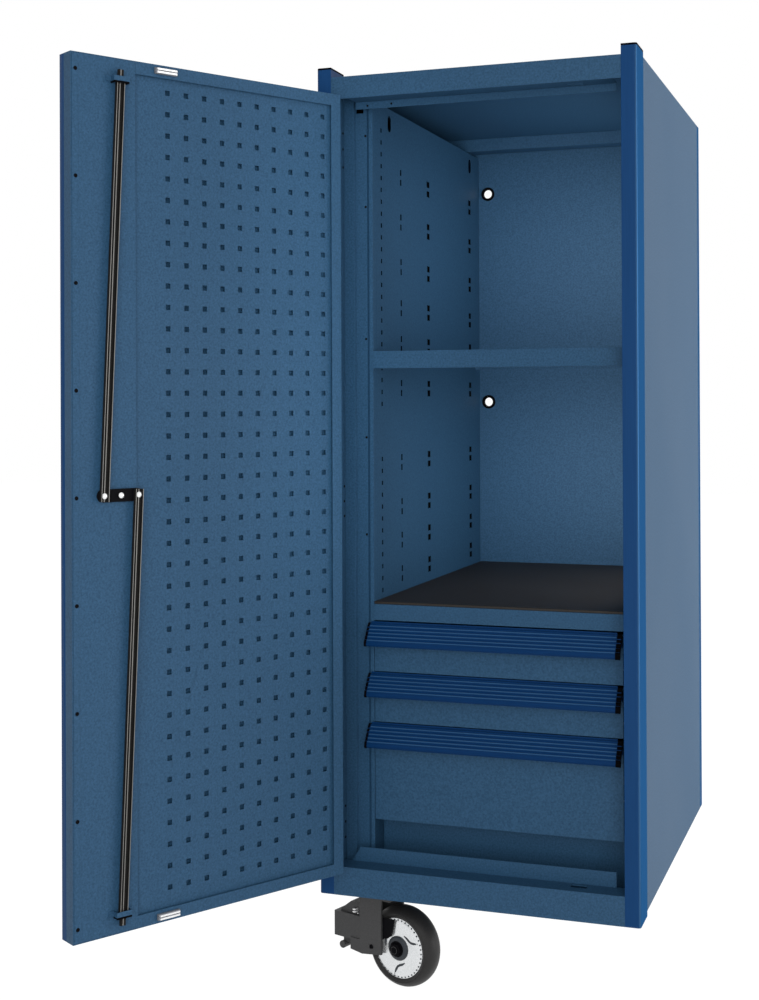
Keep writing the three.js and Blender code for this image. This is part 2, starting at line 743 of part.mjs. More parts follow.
// Guides: small straps over the rods near the top and bottom of the stile.
const guideHalf = rodWidth / 2 + rodPlay;
const strapFoot = doorInner + turnedGap;
const strapTop = doorInner + camLift + camThickness + looseFit + rodDepth + guideGap;
const guideLine = [
  [lockX - guideHalf - guideFoot, strapFoot], [lockX - guideHalf, strapFoot], [lockX - guideHalf, strapTop],
  [lockX + guideHalf, strapTop], [lockX + guideHalf, strapFoot], [lockX + guideHalf + guideFoot, strapFoot],
];
const guideHeights = { upper: doorTop - guideInset, lower: doorBottom + guideInset };
for (const [name, z] of Object.entries(guideHeights)) {
  const strap = push('z', folded(guideLine, rodWall), z - guideHeight / 2, z + guideHeight / 2);
  add(door, `rod_guide_${name}`, strap, coat);
}

// Magnetic catches on the top and bottom flanges.
for (const [name, z] of [['upper', doorTop - doorFlange / 2], ['lower', doorBottom + doorFlange / 2]]) {
  const [long, deep, high] = magnetSize;
  const back = doorInner + turnedGap;
  const bar = block(magnetX - long / 2, magnetX + long / 2, back, back + deep, z - high / 2, z + high / 2);
  add(door, `magnet_${name}`, bar, zinc);
}

// Lock: outside lever, spindle through the door, and a cam with two headed pins inside.
const lock = addGroup('lock', door);
lock.position.set(lockX, 0, lockZ);
const camBack = doorInner + camLift;
const camFront = camBack + camThickness;
const collarFront = doorFront - collarThickness;
const collar = rod('y', collarRadius, collarFront, doorFront - looseFit, [0, 0], crownSides);
const leverBack = doorFront - handleLift;
const leverHalf = handleWidth / 2;
const lever = block(-leverHalf, leverHalf, leverBack - handleThickness, leverBack, -handleLength, leverHalf);
const stem = rod('y', leverHalf, leverBack - overlap, collarFront + overlap, [0, 0]);
const spindle = rod('y', spindleRadius, collarFront + overlap, camBack - turnedGap, [0, 0]);
add(lock, 'lock_handle', join(collar, lever, stem, spindle), black);

const camShape = new THREE.Shape();
camShape.absarc(camRadius, 0, camWidth / 2, -Math.PI / 2, Math.PI / 2, false);
camShape.absarc(-camRadius, 0, camWidth / 2, Math.PI / 2, Math.PI * 1.5, false);
const camPlate = push('z', camShape, 0, camThickness).rotateX(Math.PI / 2);
camPlate.translate(0, camFront, 0);
const rodBack = camFront + looseFit;
const rivets = [];
for (const side of [-1, 1]) {
  const head = rodBack + rodWall + looseFit;
  rivets.push(rod('y', pinRadius, camFront - overlap, head + overlap, [side * camRadius, 0]));
  rivets.push(rod('y', pinRadius + rivetHead, head, head + rivetHeight, [side * camRadius, 0]));
}
rivets.push(rod('y', pinRadius + rivetHead, camFront - overlap, camFront + rivetHeight, [0, 0]));
add(lock, 'lock_cam', join(camPlate, ...rivets), black);

// Rods: channels pinned to the cam, each leaning a little to reach its guide.
function lockRod(name, side, guideZ, tipZ) {
  const reach = Math.abs(guideZ - lockZ);
  const lean = Math.atan2(camRadius, reach);
  const long = Math.abs(tipZ - lockZ) / Math.cos(lean);
  const pivot = addGroup(`${name}_pivot`, lock);
  pivot.position.set(side * camRadius, 0, 0);
  pivot.rotation.y = -lean;
  const w = rodWidth / 2;
  const line = [[-w, rodBack + rodDepth], [-w, rodBack], [w, rodBack], [w, rodBack + rodDepth]];
  const span = side > 0 ? [-rodEnd, long] : [-long, rodEnd];
  const hole = rod('y', turningBore, rodBack - over, rodBack + over, [0, 0]);
  add(pivot, name, cut(push('z', folded(line, rodWall), ...span), hole), black);
}
lockRod('rod_upper', 1, guideHeights.upper, doorTop - rodTipTop);
lockRod('rod_lower', -1, guideHeights.lower, doorBottom + rodTipBottom);

// Casters under the outer side of the base.
const axleZ = plateUnder - axleDrop - looseFit;

function caster(name, y) {
  const mount = addGroup(`${name}_mount`, cabinet);
  mount.position.set(casterX, y, 0);
  const [long, wide, thick] = plateSize;
  const plate = join(
    block(-long / 2, long / 2, -wide / 2, wide / 2, panelBottom - thick, panelBottom),
    rod('z', kingpinRadius, plateUnder - kingpinLength, plateUnder + overlap, [0, 0]),
  );
  add(mount, `${name}_plate`, plate, castGrey);

  const swivel = addGroup(`${name}_swivel`, mount);
  swivel.rotation.z = THREE.MathUtils.degToRad(casterTurn);
  const top = plateUnder - looseFit;
  const under = top - yokeTopThickness;
  const inside = wheelWidth / 2 + legGap;
  const outside = inside + legThickness;
  const shoulder = under + crownStep;
  const across = (line, from, to) => push('y', line.map((p) => [p[1], p[0]]), from, to);
  const legTop = legX.map((x) => [x, shoulder]);
  const boss = legBoss.map((p) => [trail + p[0], axleZ + p[1]]);
  const outerLeg = across([...legTop, ...legFoot], -outside, -inside);
  const innerLeg = across([...legTop, legKnee, ...boss, ...legFoot], inside, outside);
  const bore = kingpinRadius / Math.cos(Math.PI / roundSides) + runningFit;
  const crown = join(
    rod('z', crownRadius, shoulder, top, [0, 0], crownSides),
    block(-crownHalf, hoodEnd, -outside, outside, hoodUnder, shoulder + crownStep),
  );
  const cheek = outside - housingInset;
  const housing = block(...housingX, -cheek, cheek, ...housingZ);
  const step = across(housingStep, stepInset - cheek, cheek - stepInset);
  const axle = rod('y', axleRadius, -outside - axleStub, outside + axleStub, [trail, axleZ]);
  const pedalPin = rod('y', pinRadius, -outside + overlap, outside - overlap, pedalAt);
  const kingpinHole = rod('z', bore, under - kingpinLength, top + over, [0, 0]);
  const yoke = cut(join(crown, outerLeg, innerLeg, housing, step, axle, pedalPin), kingpinHole);
  add(swivel, `${name}_yoke`, yoke, castGrey);

  const wheel = addGroup(`${name}_wheel`, swivel);
  wheel.position.set(trail, 0, axleZ);
  const side = wheelWidth / 2;
  const bothSides = (steps) => [
    ...steps.map((p) => [p[0], p[1] - side]),
    ...steps.map((p) => [p[0], side - p[1]]).reverse(),
  ];
  const lathe = (line) => new THREE.LatheGeometry(
    [...line, line[0]].map((p) => new THREE.Vector2(p[0], p[1])),
    wheelSides,
  );
  const seat = [rimRadius + turnedGap, rimSteps.at(-1)[1]];
  const tread = tyreSteps.map((p) => [wheelRadius - p[0], p[1]]);
  add(wheel, `${name}_tyre`, lathe(bothSides([seat, ...tread])), rubber);
  const boreRadius = axleRadius / Math.cos(Math.PI / wheelSides) + runningFit;
  const hubEnd = [boreRadius, rimSteps[0][1]];
  add(wheel, `${name}_rim`, lathe(bothSides([hubEnd, ...rimSteps])), silver);

  const pedal = addGroup(`${name}_pedal`, swivel);
  pedal.position.set(pedalAt[0], 0, pedalAt[1]);
  const lump = join(
    rod('y', pinRadius + pedalHubWall, -pedalHubHalf, pedalHubHalf, [0, 0]),
    block(...pedalArm, -pedalArmHalf, pedalArmHalf, ...pedalArmZ),
    rod('y', pedalBarRadius, -pedalBarHalf, pedalBarHalf, pedalBarAt),
  );
  const pedalBore = rod('y', turningBore, -pedalHubHalf - over, pedalHubHalf + over, [0, 0]);
  add(pedal, `${name}_brake`, cut(lump, pedalBore), black);
}
caster('caster_front', casterY);
caster('caster_rear', depth - casterY);

export default group;
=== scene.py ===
import json
import math

import bmesh
import bpy
from mathutils import Matrix, Vector


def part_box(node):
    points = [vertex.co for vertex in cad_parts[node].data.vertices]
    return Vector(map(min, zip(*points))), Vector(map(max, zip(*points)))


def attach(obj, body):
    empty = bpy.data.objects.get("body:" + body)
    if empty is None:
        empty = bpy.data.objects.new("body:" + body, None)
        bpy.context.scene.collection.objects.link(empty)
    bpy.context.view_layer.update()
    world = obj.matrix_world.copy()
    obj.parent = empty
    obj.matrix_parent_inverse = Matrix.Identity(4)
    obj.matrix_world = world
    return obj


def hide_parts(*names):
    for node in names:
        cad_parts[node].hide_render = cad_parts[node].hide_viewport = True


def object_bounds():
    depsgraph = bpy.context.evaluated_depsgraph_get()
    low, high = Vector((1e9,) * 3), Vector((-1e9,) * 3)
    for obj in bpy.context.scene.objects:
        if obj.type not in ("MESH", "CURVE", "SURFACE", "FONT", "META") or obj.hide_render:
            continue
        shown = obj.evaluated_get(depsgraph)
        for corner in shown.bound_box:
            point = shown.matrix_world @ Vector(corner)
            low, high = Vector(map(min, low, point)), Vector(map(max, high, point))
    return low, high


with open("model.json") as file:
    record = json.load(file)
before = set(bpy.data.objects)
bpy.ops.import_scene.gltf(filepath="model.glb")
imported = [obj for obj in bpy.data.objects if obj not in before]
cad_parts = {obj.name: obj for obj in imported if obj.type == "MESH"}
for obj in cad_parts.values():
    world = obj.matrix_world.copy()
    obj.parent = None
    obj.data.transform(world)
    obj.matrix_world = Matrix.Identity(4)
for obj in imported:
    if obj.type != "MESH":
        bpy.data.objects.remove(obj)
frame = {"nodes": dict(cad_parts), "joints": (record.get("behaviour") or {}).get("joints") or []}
cad_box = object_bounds()

# Carcass sheets: folded steel, welded and riveted together and sprayed with a blue powder coat.
# The coat cures to a fine, slightly rough grain; the folds keep a small rounded edge.
COAT_DARK = (0.0122, 0.044, 0.090, 1.0)
COAT_LIGHT = (0.0262, 0.078, 0.150, 1.0)
COAT_GRAINS_PER_METRE = 340.0
COAT_ROUGHNESS = 0.6
COAT_SPECULAR = 0.21
COAT_RELIEF = 0.00022
SHEET_EDGE = 0.00035
CREASE_DEGREES = 40.0


def put(tree, kind, inputs=(), **settings):
    """Adds a node, sets its properties, and links or sets the inputs it is given."""
    made = tree.nodes.new(kind)
    for name, value in settings.items():
        setattr(made, name, value)
    for key, value in dict(inputs).items():
        if isinstance(value, bpy.types.NodeSocket):
            tree.links.new(value, made.inputs[key])
        else:
            made.inputs[key].default_value = value
    return made


def effect(name, inputs, outputs):
    """A shader node group with named sockets: its tree, its input node and its output node."""
    tree = bpy.data.node_groups.new(name, "ShaderNodeTree")
    for label, kind in inputs.items():
        tree.interface.new_socket(label, in_out="INPUT", socket_type="NodeSocket" + kind)
    for label, kind in outputs.items():
        tree.interface.new_socket(label, in_out="OUTPUT", socket_type="NodeSocket" + kind)
    return tree, put(tree, "NodeGroupInput"), put(tree, "NodeGroupOutput")


def surface(name, plain):
    """A material: its tree, its shader with the plain values set, and its object coordinates."""
    made = bpy.data.materials.new(name)
    made.use_nodes = True
    shader = made.node_tree.nodes["Principled BSDF"]
    for socket, value in plain.items():
        shader.inputs[socket].default_value = value
    coords = put(made.node_tree, "ShaderNodeTexCoord").outputs["Object"]
    return made, made.node_tree, shader, coords


def blend_colour(tree, factor, low, high):
    mixed = put(tree, "ShaderNodeMix", {0: factor, 6: low, 7: high}, data_type="RGBA")
    return mixed.outputs[2]


def spread(tree, value, low, high):
    ranged = put(tree, "ShaderNodeMapRange", {"Value": value, "To Min": low, "To Max": high})
    return ranged.outputs["Result"]


def raise_from(tree, shader, height, strength, distance):
    bump = put(tree, "ShaderNodeBump", {"Height": height, "Strength": strength, "Distance": distance})
    tree.links.new(bump.outputs["Normal"], shader.inputs["Normal"])


grain, grain_in, grain_out = effect(
    "powder_grain",
    {"Vector": "Vector", "Grains": "Float"},
    {"Tone": "Float", "Height": "Float", "Haze": "Float"},
)
fine = put(grain, "ShaderNodeTexNoise", {
    "Vector": grain_in.outputs["Vector"], "Scale": grain_in.outputs["Grains"],
    "Detail": 3.0, "Roughness": 0.62,
})
broad_scale = put(grain, "ShaderNodeMath", {0: grain_in.outputs["Grains"], 1: 0.006}, operation="MULTIPLY")
broad = put(grain, "ShaderNodeTexNoise", {
    "Vector": grain_in.outputs["Vector"], "Scale": broad_scale.outputs[0], "Detail": 2.0,
})
tone = put(grain, "ShaderNodeMapRange", {"Value": fine.outputs["Fac"], "From Min": 0.28, "From Max": 0.72})
grain.links.new(tone.outputs["Result"], grain_out.inputs["Tone"])
grain.links.new(fine.outputs["Fac"], grain_out.inputs["Height"])
grain.links.new(broad.outputs["Fac"], grain_out.inputs["Haze"])


def grained(name, dark, light, grains_per_metre, rough, uneven, specular, strength, relief):
    """A sprayed, moulded or cast surface: one grain in its tone, its gloss and its relief."""
    made, tree, shader, coords = surface(name, {"Specular IOR Level": specular})
    skin = put(tree, "ShaderNodeGroup", node_tree=grain)
    tree.links.new(coords, skin.inputs["Vector"])
    skin.inputs["Grains"].default_value = grains_per_metre
    tree.links.new(blend_colour(tree, skin.outputs["Tone"], dark, light), shader.inputs["Base Color"])
    haze = spread(tree, skin.outputs["Haze"], rough - uneven, rough + uneven)
    tree.links.new(haze, shader.inputs["Roughness"])
    raise_from(tree, shader, skin.outputs["Height"], strength, relief)
    return made


def powder_coat(name, dark, light, rough, specular):
    return grained(
        name, dark, light, COAT_GRAINS_PER_METRE, rough, uneven=0.06, specular=specular,
        strength=0.22, relief=COAT_RELIEF,
    )


blue_coat = powder_coat("blue_coat", COAT_DARK, COAT_LIGHT, COAT_ROUGHNESS, COAT_SPECULAR)


def dress(names, finish, edge=SHEET_EDGE):
    """Gives CAD nodes a finish, and rounds their edges with modifiers."""
    for name in names:
        node = frame["nodes"][name]
        node.data.materials.clear()
        node.data.materials.append(finish)
        node.modifiers.new("weld", "WELD").merge_threshold = 1e-5
        rounded = node.modifiers.new("edge", "BEVEL")
        rounded.width = edge
        rounded.segments = 2
        rounded.limit_method = "ANGLE"
        rounded.angle_limit = math.radians(CREASE_DEGREES)


CARCASS = [
    "side_left", "side_right", "roof", "base", "back", "header", "sill", "jamb_left", "jamb_right",
    "wall_left", "wall_right", "roof_channel", "shelf", "deck",
]
dress(CARCASS, blue_coat)

# Painted shade in the double left side: the side panel and the slotted wall are painted near black in place
# of the coat on the faces that they turn to each other, and so are the edges of the clip slots, so the slots
# look shaded.
SLOT_SHADE_DARK = (0.0010, 0.0012, 0.0015, 1.0)
SLOT_SHADE_LIGHT = (0.0022, 0.0025, 0.0030, 1.0)
FACE_ON = 0.9
SLOT_EDGE_AREA = 1e-4
dark_primer = powder_coat("dark_primer", SLOT_SHADE_DARK, SLOT_SHADE_LIGHT, rough=0.7, specular=0.02)


def refinish(name, way, least, finish):
    """Gives another finish to the faces of a CAD node that look towards +X, or -X where way is -1."""
    panel = frame["nodes"][name].data
    panel.materials.append(finish)
    for polygon in panel.polygons:
        if polygon.normal.x * way > least:
            polygon.material_index = 1


# Painted shade: these hidden faces and the slot edges below are made near black so that the slots look dark.
refinish("side_left", way=1, least=FACE_ON, finish=dark_primer)
refinish("wall_left", way=-1, least=FACE_ON, finish=dark_primer)
for polygon in frame["nodes"]["wall_left"].data.polygons:
    if abs(polygon.normal.x) < FACE_ON and polygon.area < SLOT_EDGE_AREA:
        polygon.material_index = 1

# Corner posts: hollow extrusions with one rounded outer corner, in a brighter satin blue, cut to length
# and closed at the top of the front pair by thin moulded caps. The outer sides of the right-hand pair
# have a paler metallic blue, a painted highlight for the light that falls on them from the right.
POST_DARK = (0.006, 0.034, 0.108, 1.0)
POST_LIGHT = (0.009, 0.048, 0.142, 1.0)
LIT_SIDE_DARK = (0.030, 0.084, 0.180, 1.0)
LIT_SIDE_LIGHT = (0.040, 0.108, 0.225, 1.0)
LIT_SIDE_TINT = (0.22, 0.46, 0.80, 1.0)
ALONG_POST = (1.0, 1.0, 0.02)
POST_LINES_PER_METRE = 700.0
DRAWN_UNEVEN = 0.05
SATIN = {"Specular IOR Level": 0.05}
LIT_SIDE_METAL = {"Metallic": 1.0, "Specular Tint": LIT_SIDE_TINT}

brushed, brushed_in, brushed_out = effect(
    "drawn_lines", {"Vector": "Vector", "Lines": "Float"}, {"Tone": "Float", "Height": "Float"},
)
lines = put(brushed, "ShaderNodeTexNoise", {
    "Vector": brushed_in.outputs["Vector"], "Scale": brushed_in.outputs["Lines"], "Detail": 2.0,
})
brushed.links.new(lines.outputs["Fac"], brushed_out.inputs["Tone"])
brushed.links.new(lines.outputs["Fac"], brushed_out.inputs["Height"])


def drawn_metal(name, dark, light, squeeze, lines_per_metre, plain, rough):
    """A drawn or rolled metal: fine lines along the axis that squeeze makes small."""
    made, tree, shader, coords = surface(name, plain)
    stretched = put(tree, "ShaderNodeMapping", {"Vector": coords, "Scale": squeeze})
    drawn = put(tree, "ShaderNodeGroup", node_tree=brushed)
    tree.links.new(stretched.outputs["Vector"], drawn.inputs["Vector"])
    drawn.inputs["Lines"].default_value = lines_per_metre
    tree.links.new(blend_colour(tree, drawn.outputs["Tone"], dark, light), shader.inputs["Base Color"])
    rubbed = spread(tree, drawn.outputs["Tone"], rough - DRAWN_UNEVEN, rough + DRAWN_UNEVEN)
    tree.links.new(rubbed, shader.inputs["Roughness"])
    raise_from(tree, shader, drawn.outputs["Height"], strength=0.12, distance=0.0001)
    return made


upright_blue = drawn_metal(
    "upright_blue", POST_DARK, POST_LIGHT, ALONG_POST, POST_LINES_PER_METRE, SATIN, rough=0.38,
)
POSTS = ["post_front_left", "post_front_right", "post_rear_left", "post_rear_right"]
dress(POSTS, upright_blue, edge=0.0006)
# Painted highlight: the paler blue that the right-hand posts' outer sides get.
polished_blue = drawn_metal(
    "polished_blue", LIT_SIDE_DARK, LIT_SIDE_LIGHT, ALONG_POST, POST_LINES_PER_METRE, LIT_SIDE_METAL, rough=0.5,
)
refinish("post_front_right", way=1, least=0.3, finish=polished_blue)
refinish("post_rear_right", way=1, least=0.3, finish=polished_blue)


def moulded(name, dark, light, cells_per_metre, rough, relief, sheen=0.25):
    return grained(
        name, dark, light, cells_per_metre, rough, uneven=0.07, specular=sheen, strength=0.3, relief=relief,
    )


BLACK_DARK = (0.0012, 0.0012, 0.0018, 1.0)
BLACK_LIGHT = (0.0032, 0.0032, 0.0040, 1.0)
black_plastic = moulded(
    "black_plastic", BLACK_DARK, BLACK_LIGHT, cells_per_metre=1400.0, rough=0.6, relief=0.0001, sheen=0.015,
)
dress(["cap_left", "cap_right"], black_plastic, edge=0.0005)

# Cable grommets: moulded black rings that line the two holes of the back panel.
# Each is snapped in, so that its groove grips the sheet and a lip stands on either side.
GROMMET_LIP = [
    (0.0085, -0.0024), (0.0095, -0.0037), (0.0125, -0.0037), (0.0135, -0.0027), (0.0135, -0.0008),
    (0.0105, -0.0008),
]
GROMMET_RING = GROMMET_LIP + [(r, -h) for r, h in reversed(GROMMET_LIP)]
SHARP_DEGREES = 35.0


def turned(profile, steps, place):
    """A closed ring or turned solid: (radius, height) points spun about Z, then placed."""
    shape = bmesh.new()
    rings = []
    for step in range(steps):
        turn = 2 * math.pi * step / steps
        rings.append([
            shape.verts.new((r * math.cos(turn), r * math.sin(turn), h)) for r, h in profile
        ])
    count = len(profile)
    for step in range(steps):
        here, there = rings[step], rings[(step + 1) % steps]
        for i in range(count):
            j = (i + 1) % count
            shape.faces.new((here[i], there[i], there[j], here[j]))
    bmesh.ops.remove_doubles(shape, verts=shape.verts, dist=1e-6)
    bmesh.ops.recalc_face_normals(shape, faces=shape.faces)
    bmesh.ops.transform(shape, matrix=place, verts=shape.verts)
    return shape


def add_shape(target, extra):
    """Adds one shape's faces to another and frees the first."""
    spare = bpy.data.meshes.new("spare")
    extra.to_mesh(spare)
    extra.free()
    target.from_mesh(spare)
    bpy.data.meshes.remove(spare)


def piece(name, shape, body, slot, *finishes):
    """Turns a shape into a piece that rides on a body."""
    for face in shape.faces:
        face.smooth = True
    mesh = bpy.data.meshes.new(name)
    shape.to_mesh(mesh)
    shape.free()
    if "custom_normal" in mesh.attributes:
        mesh.attributes.remove(mesh.attributes["custom_normal"])
    for finish in finishes:
        mesh.materials.append(finish)
    mesh.set_sharp_from_angle(angle=math.radians(SHARP_DEGREES))
    made = bpy.data.objects.new(name, mesh)
    bpy.context.scene.collection.objects.link(made)
    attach(made, body)
    return made


for number in (1, 2):
    low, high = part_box(f"grommet_{number}")
    place = Matrix.Translation((low + high) / 2) @ Matrix.Rotation(math.pi / 2, 4, "X")
    shape = turned(GROMMET_RING, steps=48, place=place)
    ring = piece(f"cable_grommet_{number}", shape, "cabinet", "black_plastic", black_plastic)
    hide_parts(f"grommet_{number}")

# Deck mat: a sheet of black rubber with a fine pebbled top, cut to the size of the deck.
# It lies loose there, under whatever is put into the lower compartment.
MAT_DARK = (0.011, 0.010, 0.009, 1.0)
MAT_LIGHT = (0.026, 0.022, 0.019, 1.0)
mat_rubber = moulded("mat_rubber", MAT_DARK, MAT_LIGHT, cells_per_metre=420.0, rough=0.55, relief=0.0003)
dress(["mat"], mat_rubber, edge=0.0008)

# Drawers: zinc-plated slide channels, coated trays, and a ribbed pull across each face.
# The pulls are extrusions in a darker blue than the posts, closed at both ends by moulded black caps.
# The crests of their ribs carry a lighter blue, a painted highlight where light catches them,
# and a low fence at the back meets the drawer's face.
ZINC_DARK = (0.36, 0.37, 0.38, 1.0)
ZINC_LIGHT = (0.52, 0.53, 0.54, 1.0)
ALONG_SLIDE = (1.0, 0.04, 1.0)
zinc_plate = drawn_metal(
    "zinc_plate", ZINC_DARK, ZINC_LIGHT, ALONG_SLIDE,
    lines_per_metre=420.0, plain={"Metallic": 1.0}, rough=0.36,
)
dress([f"slide_{n}_{side}" for n in (1, 2, 3) for side in ("left", "right")], zinc_plate)
dress([f"tray_{n}" for n in (1, 2, 3)], blue_coat)
PULL_DARK = (0.0020, 0.022, 0.078, 1.0)
PULL_LIGHT = (0.0036, 0.030, 0.104, 1.0)
RIDGE_HIGHLIGHT_DARK = (0.020, 0.066, 0.152, 1.0)
RIDGE_HIGHLIGHT_LIGHT = (0.028, 0.086, 0.190, 1.0)
ALONG_PULL = (0.02, 1.0, 1.0)
PULL_LINES_PER_METRE = 700.0
PULL_ROUGHNESS = 0.34
pull_blue = drawn_metal(
    "pull_blue", PULL_DARK, PULL_LIGHT, ALONG_PULL, PULL_LINES_PER_METRE, SATIN, PULL_ROUGHNESS,
)
ridge_blue = drawn_metal(
    "ridge_blue", RIDGE_HIGHLIGHT_DARK, RIDGE_HIGHLIGHT_LIGHT, ALONG_PULL, PULL_LINES_PER_METRE, SATIN, PULL_ROUGHNESS,
)
RIDGE_SLOPE = ((-0.0050, -0.0020), (-0.0240, -0.0280))
RIDGE_BAND = (0.26, 0.54)
RIDGE_RISE = (0.0009, 0.0012)
RIDGES = 5
CAP_LEFT, CAP_RIGHT = 0.0040, 0.0075
CAP_GROW = 1.03
CAP_PROUD = 0.0006
FENCE_HEIGHT = 0.0030
FENCE_THICKNESS = 0.0010
FENCE_INSET = 0.0002
FENCE_ROOT = 0.0003


def copy_of(node):
    """A merged copy of a CAD node's mesh."""
    shape = bmesh.new()
    shape.from_mesh(frame["nodes"][node].data)
    bmesh.ops.remove_doubles(shape, verts=shape.verts, dist=1e-6)
    return shape


def prism(profile, low, high, to_place):
    """A closed bar with one cross-section, from one height to another."""
    shape = bmesh.new()
    ends = [[shape.verts.new(to_place(x, y, z)) for x, y in profile] for z in (low, high)]
    count = len(profile)
    for i in range(count):
        j = (i + 1) % count
        shape.faces.new((ends[0][i], ends[0][j], ends[1][j], ends[1][i]))
    for end in ends:
        shape.faces.new(end)
    bmesh.ops.recalc_face_normals(shape, faces=shape.faces)
    return shape


for number in (1, 2, 3):
    pull = f"pull_{number}"
    dress([pull], pull_blue, edge=0.00025)
    low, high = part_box(pull)
    caps = bmesh.new()
    for end, way, thick in ((low.x, -1, CAP_LEFT), (high.x, 1, CAP_RIGHT)):
        cap = copy_of(pull)
        other = [f for f in cap.faces if abs(f.calc_center_median().x - end) > 1e-5]
        bmesh.ops.delete(cap, geom=other, context="FACES")
        bmesh.ops.dissolve_limit(cap, angle_limit=0.01, verts=cap.verts, edges=cap.edges)
        middle = (low + high) / 2
        for vert in cap.verts:
            vert.co.y = middle.y + (vert.co.y - middle.y) * CAP_GROW
            vert.co.z = middle.z + (vert.co.z - middle.z) * CAP_GROW
            vert.co.x = end + way * CAP_PROUD
        grown = bmesh.ops.extrude_face_region(cap, geom=list(cap.faces))
        moved = [g for g in grown["geom"] if isinstance(g, bmesh.types.BMVert)]
        bmesh.ops.translate(cap, verts=moved, vec=(-way * thick, 0, 0))
        bmesh.ops.recalc_face_normals(cap, faces=cap.faces)
        add_shape(caps, cap)
    piece(f"pull_end_caps_{number}", caps, f"drawer_{number}", "black_plastic", black_plastic)
    ends = (low.x + CAP_LEFT, high.x - CAP_RIGHT)
    back = high.y - FENCE_INSET
    front = back - FENCE_THICKNESS
    outline = [(ends[0], front), (ends[1], front), (ends[1], back), (ends[0], back)]
    fence = prism(outline, high.z - FENCE_ROOT, high.z + FENCE_HEIGHT, lambda x, y, z: (x, y, z))
    piece(f"pull_fence_{number}", fence, f"drawer_{number}", "bright_blue", pull_blue)
    # Painted highlight: a lighter bar lies just proud of each rib crest.
    top, foot = (Vector((0, high.y + y, high.z + z)) for y, z in RIDGE_SLOPE)
    run = foot - top
    out = Vector((0, run.z, -run.y)).normalized()
    ridges = bmesh.new()
    for rib in range(RIDGES):
        start, stop = (top + run * (rib + at) / RIDGES for at in RIDGE_BAND)
        corners = [start + out * RIDGE_RISE[0], stop + out * RIDGE_RISE[0]]
        corners += [stop + out * RIDGE_RISE[1], start + out * RIDGE_RISE[1]]
        bar = prism([(c.y, c.z) for c in corners], *ends, lambda y, z, x: (x, y, z))
        add_shape(ridges, bar)
    piece(f"pull_ridges_{number}", ridges, f"drawer_{number}", "bright_blue", ridge_blue)

# Door: a folded pan with a raised lock stile and a perforated tool panel between its flanges.
# The lip that the pan turns over the stile is screwed down along the free edge, and a thin sheet
# closes the pan behind the perforations. It stands open on its hinge pin.
dress(["door_pan", "door_stile", "rod_guide_upper", "rod_guide_lower"], blue_coat)
dress(["pegboard"], blue_coat, edge=0.0003)
dress(["edge_pull"], upright_blue, edge=0.0004)
DOOR_OPEN = math.radians(121)
joint_at = {joint["name"]: Vector(joint["pos_m"]) for joint in frame["joints"] if joint.get("pos_m")}
PIN = joint_at["door_swing"]
FREE_EDGE = 0.46035
DOOR_INNER = 0.0365
DOOR_LOW, DOOR_HIGH = (corner.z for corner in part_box("door_pan"))
ALONG = Vector((math.cos(DOOR_OPEN), -math.sin(DOOR_OPEN), 0))
INWARD = Vector((math.sin(DOOR_OPEN), math.cos(DOOR_OPEN), 0))


def door_at(along, inward, height):
    """A point of the open door: distance from the pin, distance in from it, and height."""
    return PIN + ALONG * along + INWARD * inward + Vector((0, 0, height))


def door_block(along, inward, height):
    """A box on the door, between pairs of distances."""
    corners = [(along[0], inward[0]), (along[1], inward[0]), (along[1], inward[1]), (along[0], inward[1])]
    return prism(corners, height[0], height[1], door_at)


LIP_OUTER, LIP_INNER = 0.0016, 0.0124
LIP_CHAMFER = (0.0002, 0.0006)
LIP_ROOT, LIP_RISE = 0.0002, 0.0005
LIP_END = 0.002
lip = [
    (FREE_EDGE - LIP_OUTER, DOOR_INNER - LIP_ROOT),
    (FREE_EDGE - LIP_OUTER - LIP_CHAMFER[0], DOOR_INNER + LIP_RISE),
    (FREE_EDGE - LIP_INNER + LIP_CHAMFER[1], DOOR_INNER + LIP_RISE),
    (FREE_EDGE - LIP_INNER, DOOR_INNER - LIP_ROOT),
]
lip_bar = prism(lip, DOOR_LOW + LIP_END, DOOR_HIGH - LIP_END, door_at)
piece("door_lip", lip_bar, "door", "coat", blue_coat)

PEG_BACK = 0.0290
LINER_GAP, LINER_THICKNESS = 0.0050, 0.0008
LINER_ALONG = (0.004, 0.359)
LINER_END = 0.004
liner_inner = PEG_BACK - LINER_GAP
liner = door_block(
    LINER_ALONG, (liner_inner - LINER_THICKNESS, liner_inner), (DOOR_LOW + LINER_END, DOOR_HIGH - LINER_END),
)
piece("door_liner", liner, "door", "coat", blue_coat)

# Screws and rivets: small turned heads of blackened steel, in rows along the door lip, down the
# hinge-side jamb and on the header's lip. One tree makes them all: a tapered head with a crown that is
# raised on a rivet and sunk on a screw.
CROWN_STEP = 0.00002
SCREW_RADIUS, SCREW_HEIGHT = 0.0030, 0.0009
LIP_SCREWS = 9
SCREW_IN = 0.0070
SCREW_LIFT = 0.0008
SCREW_LOWEST = 0.020
SCREW_HIGHEST = 0.023
RIVET_CROWN = {"taper": 0.75, "crown": 0.5, "crown_height": 0.0003}
FLANGE_FACE = (-0.4862, -0.289)
FLANGE_ROWS = [0.559, 0.533, 0.504, -0.012, -0.036, -0.060, -0.528, -0.553, -0.578]
BAND_FACE = (-0.4525, -0.2763)
BAND_ROWS = [0.555, 0.440, 0.226, 0.067, -0.090]
HEADER_RIVETS = [(-0.4396, -0.3003, 0.5985), (-0.3991, -0.3003, 0.5995)]
OXIDE_DARK = (0.0024, 0.0024, 0.0034, 1.0)
OXIDE_LIGHT = (0.0062, 0.0060, 0.0072, 1.0)


